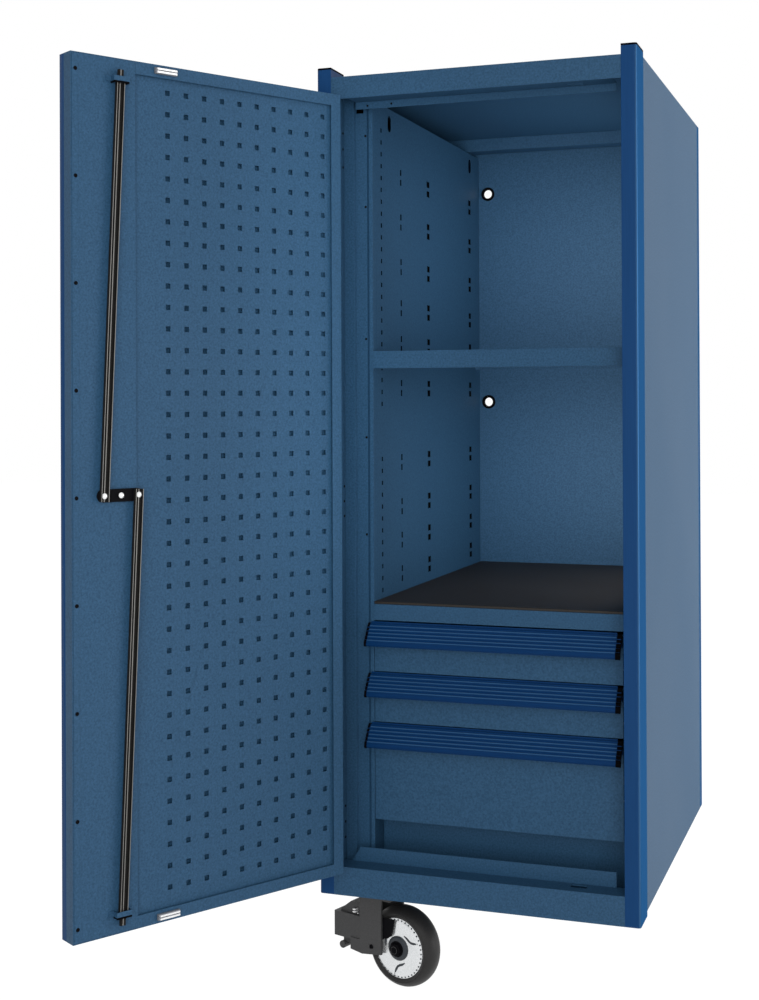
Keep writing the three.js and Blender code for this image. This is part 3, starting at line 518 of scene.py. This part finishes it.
def finished_copies(tree, points, shape, finish, **turned_by):
    """Puts a shape on points, makes the copies real, and gives them their finish."""
    copies = put(tree, "GeometryNodeInstanceOnPoints", {"Points": points, "Instance": shape, **turned_by})
    real = put(tree, "GeometryNodeRealizeInstances", {"Geometry": copies.outputs[0]})
    painted = put(tree, "GeometryNodeSetMaterial", {"Geometry": real.outputs[0], "Material": finish})
    return painted.outputs[0]


def fastener_tree():
    tree = bpy.data.node_groups.new("fasteners", "GeometryNodeTree")
    tree.interface.new_socket("Places", in_out="INPUT", socket_type="NodeSocketGeometry")
    for label in ("Head Radius", "Head Height", "Taper", "Crown", "Crown Height"):
        tree.interface.new_socket(label, in_out="INPUT", socket_type="NodeSocketFloat")
    sides = tree.interface.new_socket("Sides", in_out="INPUT", socket_type="NodeSocketInt")
    sides.default_value = 12
    tree.interface.new_socket("Facing", in_out="INPUT", socket_type="NodeSocketVector")
    tree.interface.new_socket("Finish", in_out="INPUT", socket_type="NodeSocketMaterial")
    tree.interface.new_socket("Heads", in_out="OUTPUT", socket_type="NodeSocketGeometry")
    given = put(tree, "NodeGroupInput").outputs
    stub = put(tree, "GeometryNodeMeshCylinder", {
        "Vertices": given["Sides"], "Radius": given["Head Radius"], "Depth": given["Head Height"],
    })
    tapered = put(tree, "GeometryNodeScaleElements", {
        "Geometry": stub.outputs["Mesh"], "Selection": stub.outputs["Top"], "Scale": given["Taper"],
    })
    inset = put(tree, "GeometryNodeExtrudeMesh", {
        "Mesh": tapered.outputs[0], "Selection": stub.outputs["Top"], "Offset Scale": CROWN_STEP,
    })
    shrunk = put(tree, "GeometryNodeScaleElements", {
        "Geometry": inset.outputs["Mesh"], "Selection": inset.outputs["Top"], "Scale": given["Crown"],
    })
    crown = put(tree, "GeometryNodeExtrudeMesh", {
        "Mesh": shrunk.outputs[0], "Selection": inset.outputs["Top"], "Offset Scale": given["Crown Height"],
    })
    turn = put(tree, "FunctionNodeAlignRotationToVector", {"Vector": given["Facing"]}, axis="Z")
    heads = finished_copies(
        tree, given["Places"], crown.outputs["Mesh"], given["Finish"], Rotation=turn.outputs[0],
    )
    put(tree, "NodeGroupOutput", {"Heads": heads})
    return tree


fasteners = fastener_tree()


def repeated(tree, name, body, slot, places, **values):
    """A set of like shapes on one body, made by a tree at the places and kept as a plain mesh."""
    mesh = bpy.data.meshes.new(name)
    mesh.from_pydata([tuple(p) for p in places], [], [])
    made = bpy.data.objects.new(name, mesh)
    bpy.context.scene.collection.objects.link(made)
    rows = made.modifiers.new("rows", "NODES")
    rows.node_group = tree
    for item in tree.interface.items_tree:
        key = item.name.replace(" ", "_").lower()
        if item.in_out == "INPUT" and key in values:
            rows[item.identifier] = values[key]
    solid = bpy.data.meshes.new_from_object(made.evaluated_get(bpy.context.evaluated_depsgraph_get()))
    made.modifiers.remove(rows)
    made.data = solid
    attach(made, body)
    return made


def fastened(name, body, slot, places, **values):
    return repeated(fasteners, name, body, slot, places, **values)


black_oxide = moulded(
    "black_oxide", OXIDE_DARK, OXIDE_LIGHT, cells_per_metre=900.0, rough=0.5, relief=0.00005, sheen=0.02,
)
screw_step = (DOOR_HIGH - DOOR_LOW - SCREW_LOWEST - SCREW_HIGHEST) / (LIP_SCREWS - 1)
screw_heights = [DOOR_LOW + SCREW_LOWEST + i * screw_step for i in range(LIP_SCREWS)]
fastened(
    "door_lip_screws", "door", "black_steel",
    [door_at(FREE_EDGE - SCREW_IN, DOOR_INNER + SCREW_LIFT, height) for height in screw_heights],
    head_radius=SCREW_RADIUS, head_height=SCREW_HEIGHT, taper=0.8, crown=0.6, crown_height=-0.0006,
    facing=tuple(INWARD), finish=black_oxide,
)
fastened(
    "jamb_flange_rivets", "cabinet", "black_steel", [(*FLANGE_FACE, z) for z in FLANGE_ROWS],
    head_radius=0.0024, head_height=0.0009, facing=(1, 0, 0), finish=black_oxide, **RIVET_CROWN,
)
fastened(
    "jamb_band_rivets", "cabinet", "black_steel", [(*BAND_FACE, z) for z in BAND_ROWS],
    head_radius=0.0021, head_height=0.0008, facing=(0, -1, 0), finish=black_oxide, **RIVET_CROWN,
)
fastened(
    "header_lip_rivets", "cabinet", "black_steel", HEADER_RIVETS,
    head_radius=0.0019, head_height=0.0008, facing=(0, -1, 0), finish=black_oxide, **RIVET_CROWN,
)

# Clip slots of the left wall: each slot of the two rear columns is edged by two thin near-black strips that
# lie on the wall's face, painted shade that darkens the slots. One tree makes the pair at every slot.
SLOT_ROWS = (0.025, 0.082, 0.139, 0.214, 0.340, 0.415, 0.476, 0.546, 0.622, 0.698)
SLOT_PAIR = 0.017
SLOT_COLUMNS = (0.006, 0.266)
STRIP_SIZE = (0.0005, 0.0034, 0.0108)
STRIP_SPACING = 0.0094


def shadow_strip_tree():
    tree = bpy.data.node_groups.new("slot_strips", "GeometryNodeTree")
    tree.interface.new_socket("Places", in_out="INPUT", socket_type="NodeSocketGeometry")
    tree.interface.new_socket("Strip Size", in_out="INPUT", socket_type="NodeSocketVector")
    tree.interface.new_socket("Half Spacing", in_out="INPUT", socket_type="NodeSocketFloat")
    tree.interface.new_socket("Finish", in_out="INPUT", socket_type="NodeSocketMaterial")
    tree.interface.new_socket("Strips", in_out="OUTPUT", socket_type="NodeSocketGeometry")
    given = put(tree, "NodeGroupInput").outputs
    strip = put(tree, "GeometryNodeMeshCube", {"Size": given["Strip Size"]})
    pair = put(tree, "GeometryNodeJoinGeometry")
    for way in (-1.0, 1.0):
        shift = put(tree, "ShaderNodeMath", {0: given["Half Spacing"], 1: way}, operation="MULTIPLY")
        aside = put(tree, "ShaderNodeCombineXYZ", {"Y": shift.outputs[0]})
        moved = put(tree, "GeometryNodeTransform", {
            "Geometry": strip.outputs["Mesh"], "Translation": aside.outputs[0],
        })
        tree.links.new(moved.outputs[0], pair.inputs[0])
    strips = finished_copies(tree, given["Places"], pair.outputs[0], given["Finish"])
    put(tree, "NodeGroupOutput", {"Strips": strips})
    return tree


wall_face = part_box("wall_left")[1].x + 0.5 * STRIP_SIZE[0]
deck_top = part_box("deck")[1].z
slot_heights = [deck_top + row + upper for row in SLOT_ROWS for upper in (0.0, SLOT_PAIR)]
slots = [(wall_face, y, z) for y in SLOT_COLUMNS for z in slot_heights]
# The strips carry the painted slot shade.
repeated(
    shadow_strip_tree(), "wall_slot_strips", "cabinet", "black_plastic", slots,
    strip_size=STRIP_SIZE, half_spacing=STRIP_SPACING / 2, finish=dark_primer,
)

# Piano hinge: two rolled steel leaves on one long pin, one fixed to the post and one to the door.
# Both leaves have the carcass's coat.
dress(["hinge_post_leaf", "hinge_door_leaf"], blue_coat, edge=0.0002)

# Rod lock: a black cam turned by the outside lever, with two channel rods pinned to it.
# Each rod has a bead pressed along its middle; its rims and bead, where they face out of the door, are worn
# steel in a lighter tone that is also a painted highlight. Black strips under the guide straps paint the
# shadow that the straps cast on the rods, and bright domed heads close the cam's three pins.
WORN_HIGHLIGHT_DARK = (0.11, 0.11, 0.11, 1.0)
WORN_HIGHLIGHT_LIGHT = (0.21, 0.205, 0.19, 1.0)
ALONG_ROD = (1.0, 1.0, 0.03)
bare_steel = drawn_metal(
    "bare_steel", WORN_HIGHLIGHT_DARK, WORN_HIGHLIGHT_LIGHT, ALONG_ROD,
    lines_per_metre=500.0, plain={"Metallic": 0.5}, rough=0.45,
)
ROD_DARK = (0.007, 0.007, 0.007, 1.0)
ROD_LIGHT = (0.018, 0.017, 0.016, 1.0)
rod_black = moulded(
    "rod_black", ROD_DARK, ROD_LIGHT, cells_per_metre=700.0, rough=0.5, relief=0.0001, sheen=0.05,
)
BRIGHT_DARK = (0.70, 0.71, 0.72, 1.0)
BRIGHT_LIGHT = (0.88, 0.88, 0.88, 1.0)
UPRIGHT = (1.0, 1.0, 0.05)
bright_steel = drawn_metal(
    "bright_steel", BRIGHT_DARK, BRIGHT_LIGHT, UPRIGHT,
    lines_per_metre=400.0, plain={"Metallic": 0.6}, rough=0.3,
)
dress(["lock_cam"], black_oxide, edge=0.0003)
dress(["lock_handle"], black_plastic, edge=0.001)
LOCK_ALONG = (joint_at["lock_turn"] - PIN).dot(ALONG)
LOCK_HEIGHT = joint_at["lock_turn"].z
CAM_REACH = (joint_at["upper_rod_pivot"] - joint_at["lock_turn"]).length
ROD_LEAN = math.radians(2.63872)
ROD_TIPS = {"upper": 0.5896, "lower": 0.5936}
ROD_FOOT = -0.008
TIP_OVERLAP, TIP_SHOULDER, TIP_END = 0.0145, 0.0125, 0.0012
ROD_BACK, ROD_RIM, ROD_FLOOR, ROD_BEAD = 0.0406, 0.0466, 0.0418, 0.0434
ROD_SECTION = [
    (-0.0060, ROD_RIM), (-0.0060, ROD_BACK), (0.0060, ROD_BACK), (0.0060, ROD_RIM), (0.0050, ROD_RIM),
    (0.0050, ROD_FLOOR), (0.0015, ROD_FLOOR), (0.0007, ROD_BEAD), (-0.0007, ROD_BEAD), (-0.0015, ROD_FLOOR),
    (-0.0050, ROD_FLOOR), (-0.0050, ROD_RIM),
]
WORN_HIGHLIGHT_FROM = ROD_BEAD - 0.0001
TIP_BACK = ROD_BACK + 0.0008
TIP_SECTION = [
    (-0.0042, TIP_BACK), (0.0042, TIP_BACK), (0.0042, 0.0443), (0.0030, 0.0462),
    (0.0008, 0.0446), (-0.0008, 0.0446), (-0.0030, 0.0462), (-0.0042, 0.0443),
]


def rod_at(way):
    """Places a rod's own (across, inward, distance from its pivot) on the open door."""
    def placed(across, inward, far):
        along = LOCK_ALONG + way * (CAM_REACH - far * math.sin(ROD_LEAN)) + across * math.cos(ROD_LEAN)
        height = LOCK_HEIGHT + way * far * math.cos(ROD_LEAN) + across * math.sin(ROD_LEAN)
        return door_at(along, inward, height)
    return placed


for name, way in (("upper", 1), ("lower", -1)):
    tip = ROD_TIPS[name]
    shape = prism(ROD_SECTION, ROD_FOOT, tip - TIP_SHOULDER, rod_at(way))
    add_shape(shape, prism(TIP_SECTION, tip - TIP_OVERLAP, tip - TIP_END, rod_at(way)))
    # Painted highlight with wear: rim and bead faces that face out of the door take the lighter worn steel.
    for face in shape.faces:
        level = (face.calc_center_median() - PIN).dot(INWARD)
        face.material_index = int(level > WORN_HIGHLIGHT_FROM and face.normal.dot(INWARD) > FACE_ON)
    made = piece(f"rod_{name}_channel", shape, f"{name}_rod", "black_steel", rod_black, bare_steel)
    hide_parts(f"rod_{name}")

GUIDE_HALF, GUIDE_WALL = 0.0112, 0.0008
GUIDE_FOOT, GUIDE_TOP, GUIDE_CEILING = 0.0366, 0.0484, 0.0473
GUIDE_UPPER = (DOOR_HIGH - 0.0362, DOOR_HIGH - 0.0336)
GUIDE_LOWER = (DOOR_LOW + 0.0238, DOOR_LOW + 0.0264)
guide_left, guide_right = LOCK_ALONG - GUIDE_HALF, LOCK_ALONG + GUIDE_HALF
GUIDE_SECTION = [
    (guide_left, GUIDE_FOOT), (guide_left, GUIDE_TOP), (guide_right, GUIDE_TOP), (guide_right, GUIDE_FOOT),
    (guide_right - GUIDE_WALL, GUIDE_FOOT), (guide_right - GUIDE_WALL, GUIDE_CEILING),
    (guide_left + GUIDE_WALL, GUIDE_CEILING), (guide_left + GUIDE_WALL, GUIDE_FOOT),
]
# Painted shadow: thin black strips under the guide straps stand for the shadow that the straps cast on the
# rods.
strap_shadows = prism(GUIDE_SECTION, *GUIDE_UPPER, door_at)
add_shape(strap_shadows, prism(GUIDE_SECTION, *GUIDE_LOWER, door_at))
piece("rod_guide_liners", strap_shadows, "door", "black_plastic", black_plastic)

PIN_DOME = [(0.0, 0.0), (0.0041, 0.0), (0.0041, 0.0004), (0.0032, 0.0013), (0.0018, 0.0018), (0.0, 0.0020)]
ROD_PIN_TOP, CAM_PIN_TOP = 0.0441, 0.0423
facing_in = INWARD.to_track_quat("Z", "Y").to_matrix().to_4x4()
domes = bmesh.new()
for reach, rise in ((-CAM_REACH, ROD_PIN_TOP), (0.0, CAM_PIN_TOP), (CAM_REACH, ROD_PIN_TOP)):
    spot = Matrix.Translation(door_at(LOCK_ALONG + reach, rise, LOCK_HEIGHT)) @ facing_in
    add_shape(domes, turned(PIN_DOME, steps=24, place=spot))
piece("cam_pin_heads", domes, "lock", "zinc", bright_steel)

# Magnetic catches: two plated pole bars in a shallow moulded holder on each flange of the door.
# They meet the header and the sill, and hold the door shut before the lock is turned.
HOLDER_DARK = (0.10, 0.11, 0.13, 1.0)
HOLDER_LIGHT = (0.16, 0.17, 0.19, 1.0)
grey_holder = moulded(
    "grey_holder", HOLDER_DARK, HOLDER_LIGHT, cells_per_metre=900.0, rough=0.5, relief=0.00008,
)
MAGNET_ALONG, MAGNET_IN = 0.31335, 0.009
HOLDER_HALF_LENGTH, HOLDER_HALF_HEIGHT, HOLDER_DEPTH = 0.0178, 0.0043, 0.0035
BAR_HALF_LENGTH, BAR_HALF_HEIGHT, BAR_SHIFT = 0.0160, 0.0013, 0.0021
BAR_DEPTHS = (DOOR_INNER + 0.001, DOOR_INNER + 0.0065)


def about(middle, half):
    return middle - half, middle + half


for name, middle in (("upper", DOOR_HIGH - MAGNET_IN), ("lower", DOOR_LOW + MAGNET_IN)):
    holder = door_block(
        about(MAGNET_ALONG, HOLDER_HALF_LENGTH), (DOOR_INNER, DOOR_INNER + HOLDER_DEPTH),
        about(middle, HOLDER_HALF_HEIGHT),
    )
    bars = bmesh.new()
    for centre in about(middle, BAR_SHIFT):
        bar = door_block(about(MAGNET_ALONG, BAR_HALF_LENGTH), BAR_DEPTHS, about(centre, BAR_HALF_HEIGHT))
        add_shape(bars, bar)
    for face in bars.faces:
        face.material_index = 1
    add_shape(holder, bars)
    catch = piece(f"magnet_catch_{name}", holder, "door", "zinc", grey_holder, bright_steel)
    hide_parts(f"magnet_{name}")

# Casters: dark enamelled yokes with a foot brake, and rubber tyres on wheels with bright covers.
# The inner leg carries the axle; a hub ring, a nut and the axle's end show in the middle of the cover,
# with three curved grooves and a ring of small studs around them.
ENAMEL_DARK = (0.036, 0.036, 0.037, 1.0)
ENAMEL_LIGHT = (0.054, 0.054, 0.055, 1.0)
cast_enamel = moulded(
    "cast_enamel", ENAMEL_DARK, ENAMEL_LIGHT, cells_per_metre=500.0, rough=0.55, relief=0.00025,
)
TYRE_DARK = (0.012, 0.012, 0.012, 1.0)
TYRE_LIGHT = (0.024, 0.023, 0.023, 1.0)
tyre_rubber = moulded("tyre_rubber", TYRE_DARK, TYRE_LIGHT, cells_per_metre=600.0, rough=0.48, relief=0.0002)
HUB_DARK = (0.020, 0.024, 0.029, 1.0)
HUB_LIGHT = (0.040, 0.046, 0.054, 1.0)
hub_dark = moulded("hub_dark", HUB_DARK, HUB_LIGHT, cells_per_metre=900.0, rough=0.4, relief=0.0001)
COVER_DARK = (0.62, 0.64, 0.65, 1.0)
COVER_LIGHT = (0.78, 0.79, 0.80, 1.0)
EVEN = (1.0, 1.0, 1.0)
cover_silver = drawn_metal(
    "cover_silver", COVER_DARK, COVER_LIGHT, EVEN,
    lines_per_metre=350.0, plain={"Metallic": 0.75}, rough=0.24,
)
TYRE = [
    (0.0471, -0.0170), (0.0488, -0.0172), (0.0500, -0.0188), (0.0518, -0.0194), (0.0524, -0.0189),
    (0.0532, -0.0189), (0.0538, -0.0194), (0.0560, -0.0181), (0.0585, -0.0158), (0.0605, -0.0127),
    (0.0621, -0.0093), (0.0631, -0.0052), (0.0635, -0.0018),
]
TYRE += [(r, -h) for r, h in reversed(TYRE)]
COVER = [
    (0.0063, -0.0206), (0.0136, -0.0206), (0.0158, -0.0178), (0.0180, -0.0172), (0.0250, -0.0178),
    (0.0350, -0.0188), (0.0405, -0.0189), (0.0436, -0.0182), (0.0455, -0.0172), (0.0470, -0.0169),
]
COVER_FACE = [(r, -h) for r, h in COVER]
COVER += [(r, -h) for r, h in reversed(COVER)]
HUB_RING = [
    (0.0063, 0.0200), (0.0192, 0.0172), (0.0192, 0.0186), (0.0176, 0.0204), (0.0150, 0.0214),
    (0.0063, 0.0216),
]
WASHER = [(0.0, 0.0217), (0.0125, 0.0217), (0.0125, 0.0228), (0.0, 0.0228)]
NUT = [(0.0, 0.0228), (0.0100, 0.0228), (0.0106, 0.0234), (0.0106, 0.0274), (0.0094, 0.0284), (0.0, 0.0284)]
AXLE_END = [(0.0, 0.0284), (0.0060, 0.0284), (0.0060, 0.0290), (0.0052, 0.0296), (0.0, 0.0296)]
HOOK = [(0.0245, 62.0), (0.0255, 48.0), (0.0265, 36.0), (0.0290, 28.0), (0.0340, 24.0), (0.0420, 21.0)]
HOOK_TURNS = (0.0, 120.0, 240.0)
HOOK_HALF, HOOK_END_HALF, HOOK_RISE = 0.0018, 0.0007, 0.0003
STUDS = 40
STUD_CIRCLE, STUD_RISE = 0.0449, 0.0177
GUARD = [
    (0.022, -0.046), (0.053, -0.044), (0.051, -0.055), (0.047, -0.070), (0.040, -0.076), (0.022, -0.082),
]
GUARD_FACES = (-0.0224, -0.0214)
SPRING_RADIUS, SPRING_WIRE, SPRING_PITCH, SPRING_TURNS = 0.0042, 0.0012, 0.0040, 2.2
SPRING_FOOT = (-0.028, -0.0200, -0.0500)
WIRE_SIDES, STEPS_PER_TURN = 6, 14
LEG_BOLT = Vector((0.0094, -0.0268, -0.0944))
CASTER_TURN = math.radians(-18)


def cover_rise(radius):
    """Height of the cover's outer face at one radius."""
    for (r0, h0), (r1, h1) in zip(COVER_FACE, COVER_FACE[1:]):
        if r0 <= radius <= r1:
            return h0 + (h1 - h0) * (radius - r0) / (r1 - r0)
    return COVER_FACE[-1][1]


def polar(radius, degrees):
    return Vector((radius * math.cos(math.radians(degrees)), radius * math.sin(math.radians(degrees))))


def groove(turn, place):
    """A dark curved line that lies in the cover's face."""
    shape = bmesh.new()
    rows = []
    spots = [polar(radius, angle + turn) for radius, angle in HOOK]
    last = len(spots) - 1
    for step, centre in enumerate(spots):
        half = HOOK_HALF if 0 < step < last else HOOK_END_HALF
        ahead = (spots[min(step + 1, last)] - spots[max(step - 1, 0)]).normalized()
        aside = Vector((-ahead.y, ahead.x)) * half
        row = []
        for spot in (centre - aside, centre + aside):
            for lift in (-HOOK_RISE, HOOK_RISE):
                row.append(shape.verts.new((spot.x, spot.y, cover_rise(spot.length) + lift)))
        rows.append(row)
    order = (0, 1, 3, 2)
    for here, there in zip(rows, rows[1:]):
        for i in range(4):
            a, b = order[i], order[(i + 1) % 4]
            shape.faces.new((here[a], here[b], there[b], there[a]))
    for row in (rows[0], rows[-1]):
        shape.faces.new([row[i] for i in order])
    bmesh.ops.recalc_face_normals(shape, faces=shape.faces)
    bmesh.ops.transform(shape, matrix=place, verts=shape.verts)
    return shape


def coil(radius, wire, pitch, turns, place):
    """A small closed-ended spring about Z."""
    shape = bmesh.new()
    rings = []
    steps = int(turns * STEPS_PER_TURN)
    around = [2 * math.pi * side / WIRE_SIDES for side in range(WIRE_SIDES)]
    for step in range(steps + 1):
        turn = 2 * math.pi * turns * step / steps
        out = Vector((math.cos(turn), math.sin(turn), 0))
        middle = out * radius + Vector((0, 0, pitch * turns * step / steps))
        rings.append([
            shape.verts.new(middle + (out * math.cos(a) + Vector((0, 0, math.sin(a)))) * wire)
            for a in around
        ])
    for here, there in zip(rings, rings[1:]):
        for i in range(WIRE_SIDES):
            j = (i + 1) % WIRE_SIDES
            shape.faces.new((here[i], here[j], there[j], there[i]))
    for ring in (rings[0], rings[-1]):
        shape.faces.new(ring)
    bmesh.ops.recalc_face_normals(shape, faces=shape.faces)
    bmesh.ops.transform(shape, matrix=place, verts=shape.verts)
    return shape


for name in ("front", "rear"):
    turn_out = Matrix.Rotation(CASTER_TURN, 4, "Z")
    swivel = Matrix.Translation(joint_at[f"{name}_caster_swivel"]) @ turn_out
    axle = Matrix.Translation(joint_at[f"{name}_wheel_spin"]) @ turn_out
    wheel = axle @ Matrix.Rotation(math.pi / 2, 4, "X")
    dress([f"caster_{name}_plate", f"caster_{name}_yoke"], cast_enamel, edge=0.0008)
    dress([f"caster_{name}_brake"], cast_enamel, edge=0.0006)
    rolling = f"{name}_wheel"
    shape = turned(TYRE, steps=96, place=wheel)
    tyre = piece(f"caster_{name}_tyre_rubber", shape, rolling, "tyre", tyre_rubber)
    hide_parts(f"caster_{name}_tyre")
    shape = turned(COVER, steps=96, place=wheel)
    cover = piece(f"caster_{name}_cover", shape, rolling, "hub_cap", cover_silver)
    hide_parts(f"caster_{name}_rim")
    marks = turned(HUB_RING, steps=48, place=wheel)
    for turn in HOOK_TURNS:
        add_shape(marks, groove(turn, wheel))
    piece(f"caster_{name}_hub_ring", marks, rolling, "black_plastic", hub_dark)
    stud_spots = [polar(STUD_CIRCLE, 360.0 * i / STUDS) for i in range(STUDS)]
    rim_spots = [wheel @ Vector((spot.x, spot.y, STUD_RISE)) for spot in stud_spots]
    fastened(
        f"caster_{name}_cover_studs", rolling, "black_plastic", rim_spots, head_radius=0.0015,
        head_height=0.0010, taper=0.8, crown=0.5, crown_height=0.0001, sides=6,
        facing=tuple(wheel.to_3x3() @ Vector((0, 0, 1))), finish=hub_dark,
    )
    nut = turned(WASHER, steps=36, place=wheel)
    add_shape(nut, turned(NUT, steps=6, place=wheel))
    add_shape(nut, turned(AXLE_END, steps=24, place=wheel))
    piece(f"caster_{name}_axle_nut", nut, f"{name}_swivel", "black_steel", black_oxide)
    guard = prism(GUARD, *GUARD_FACES, lambda x, z, far: swivel @ Vector((x, far, z)))
    piece(f"caster_{name}_wheel_guard", guard, f"{name}_swivel", "black_steel", black_oxide)
    foot = swivel @ Matrix.Translation(SPRING_FOOT)
    spring = coil(SPRING_RADIUS, SPRING_WIRE, SPRING_PITCH, SPRING_TURNS, foot)
    piece(f"caster_{name}_brake_spring", spring, f"{name}_swivel", "zinc", bright_steel)
    fastened(
        f"caster_{name}_leg_bolt", f"{name}_swivel", "black_steel", [swivel @ LEG_BOLT],
        head_radius=0.0042, head_height=0.0022, taper=0.85, crown=0.6, crown_height=-0.0012, sides=6,
        facing=tuple(swivel.to_3x3() @ Vector((0, -1, 0))), finish=black_oxide,
    )

# Studio: a pale floor under a white surround, broad soft lamps in front, to the right, behind on the
# right and on the left, and small fills inside the two compartments and beside the hinge.
# Only the lamp on the right can be mirrored in the coat, which gives the open door its pale haze.
FLOOR = cad_box[0].z
FLOOR_HALF = 12.0
FLOOR_GLOW, FLOOR_GLOW_SHARE = 1.13, 0.86
AMBIENT = 0.28


def seen_directly(tree):
    """1 for the rays that show the surround itself, from the camera, a reflection or a clear piece."""
    ray = put(tree, "ShaderNodeLightPath").outputs
    either = put(tree, "ShaderNodeMath", {
        0: ray["Is Camera Ray"], 1: ray["Is Glossy Ray"],
    }, operation="MAXIMUM")
    any_of = put(tree, "ShaderNodeMath", {
        0: either.outputs[0], 1: ray["Is Transmission Ray"],
    }, operation="MAXIMUM")
    return any_of.outputs[0]


floor_mesh = bpy.data.meshes.new("studio_floor")
corners = [(x * FLOOR_HALF, y * FLOOR_HALF, FLOOR) for x, y in ((-1, -1), (1, -1), (1, 1), (-1, 1))]
floor_mesh.from_pydata(corners, [], [(0, 1, 2, 3)])
floor = bpy.data.objects.new("studio_floor", floor_mesh)
bpy.context.scene.collection.objects.link(floor)
pale = bpy.data.materials.new("studio_pale")
pale.use_nodes = True
pale_tree = pale.node_tree
pale_tree.nodes.clear()
share = put(pale_tree, "ShaderNodeMath", {
    0: seen_directly(pale_tree), 1: FLOOR_GLOW_SHARE,
}, operation="MULTIPLY")
matt = put(pale_tree, "ShaderNodeBsdfDiffuse", {"Color": (0.85, 0.85, 0.85, 1)})
glow = put(pale_tree, "ShaderNodeEmission", {"Color": (1, 1, 1, 1), "Strength": FLOOR_GLOW})
both = put(pale_tree, "ShaderNodeMixShader", {0: share.outputs[0], 1: matt.outputs[0], 2: glow.outputs[0]})
put(pale_tree, "ShaderNodeOutputMaterial", {"Surface": both.outputs[0]})
floor_mesh.materials.append(pale)

world = bpy.data.worlds.new("studio_white")
bpy.context.scene.world = world
world.use_nodes = True
sky = world.node_tree
sky.nodes.clear()
level = put(sky, "ShaderNodeMapRange", {"Value": seen_directly(sky), "To Min": AMBIENT, "To Max": 1.0})
white = put(sky, "ShaderNodeBackground", {"Color": (1, 1, 1, 1), "Strength": level.outputs["Result"]})
put(sky, "ShaderNodeOutputWorld", {"Surface": white.outputs[0]})


def soft_box(name, place, aim, size, power, spread_degrees=180, mirrored=False):
    """A rectangular lamp that lights the scene and is not itself in the picture."""
    lamp = bpy.data.lights.new(name, "AREA")
    lamp.shape = "RECTANGLE"
    lamp.size, lamp.size_y = size
    lamp.energy = power
    lamp.spread = math.radians(spread_degrees)
    made = bpy.data.objects.new(name, lamp)
    made.location = place
    made.rotation_euler = (Vector(aim) - Vector(place)).to_track_quat("-Z", "Y").to_euler()
    made.visible_camera = False
    made.visible_glossy = mirrored
    bpy.context.scene.collection.objects.link(made)


soft_box("front_low_box", place=(0.5, -3.2, -0.25), aim=(-0.25, 0.0, 0.1), size=(2.4, 2.4), power=74.0)
soft_box("front_high_box", place=(0.7, -3.0, 1.9), aim=(-0.25, 0.0, 0.0), size=(2.2, 2.2), power=32.0)
soft_box(
    "side_box", place=(2.9, 0.35, 0.05), aim=(0.0, 0.0, 0.0), size=(2.0, 2.6), power=60.0, mirrored=True,
)
soft_box("rear_side_box", place=(1.7, 1.6, 0.1), aim=(0.0, 0.05, 0.0), size=(1.4, 2.0), power=40.0)
soft_box("left_box", place=(-2.9, 1.0, 0.3), aim=(-0.5, 0.1, 0.0), size=(2.0, 2.4), power=48.0)
soft_box(
    "hinge_fill", place=(-0.20, -0.76, 0.24), aim=(-0.50, -0.33, 0.24), size=(0.06, 0.76), power=0.26,
    spread_degrees=60,
)
for name, z in (("upper", 0.40), ("lower", -0.01)):
    soft_box(
        f"{name}_wall_fill", place=(-0.038, 0.02, z), aim=(-0.437, 0.02, z), size=(0.5, 0.30), power=1.34,
    )
    soft_box(
        f"{name}_back_fill", place=(-0.237, -0.265, z), aim=(-0.237, 0.33, z), size=(0.36, 0.30), power=0.48,
        spread_degrees=70,
    )

# Camera: the photograph's viewpoint, to the right of the locker and a little above half its height.
# It looks level, turned towards the locker; the shift frames the locker as the photograph does.
CAMERA_PLACE = (0.38037, -2.48525, 0.12560)
CAMERA_TURN = (90.2727, 0.2429, 18.7538)
camera_data = bpy.data.cameras.new("camera")
camera_data.sensor_width = 36.0
camera_data.lens = 52.485
camera_data.shift_x = -0.03535
camera_data.shift_y = -0.10608
camera = bpy.data.objects.new("camera", camera_data)
camera.location = CAMERA_PLACE
camera.rotation_euler = [math.radians(degrees) for degrees in CAMERA_TURN]
bpy.context.scene.collection.objects.link(camera)
bpy.context.scene.camera = camera
bpy.context.scene.view_settings.view_transform = "Standard"
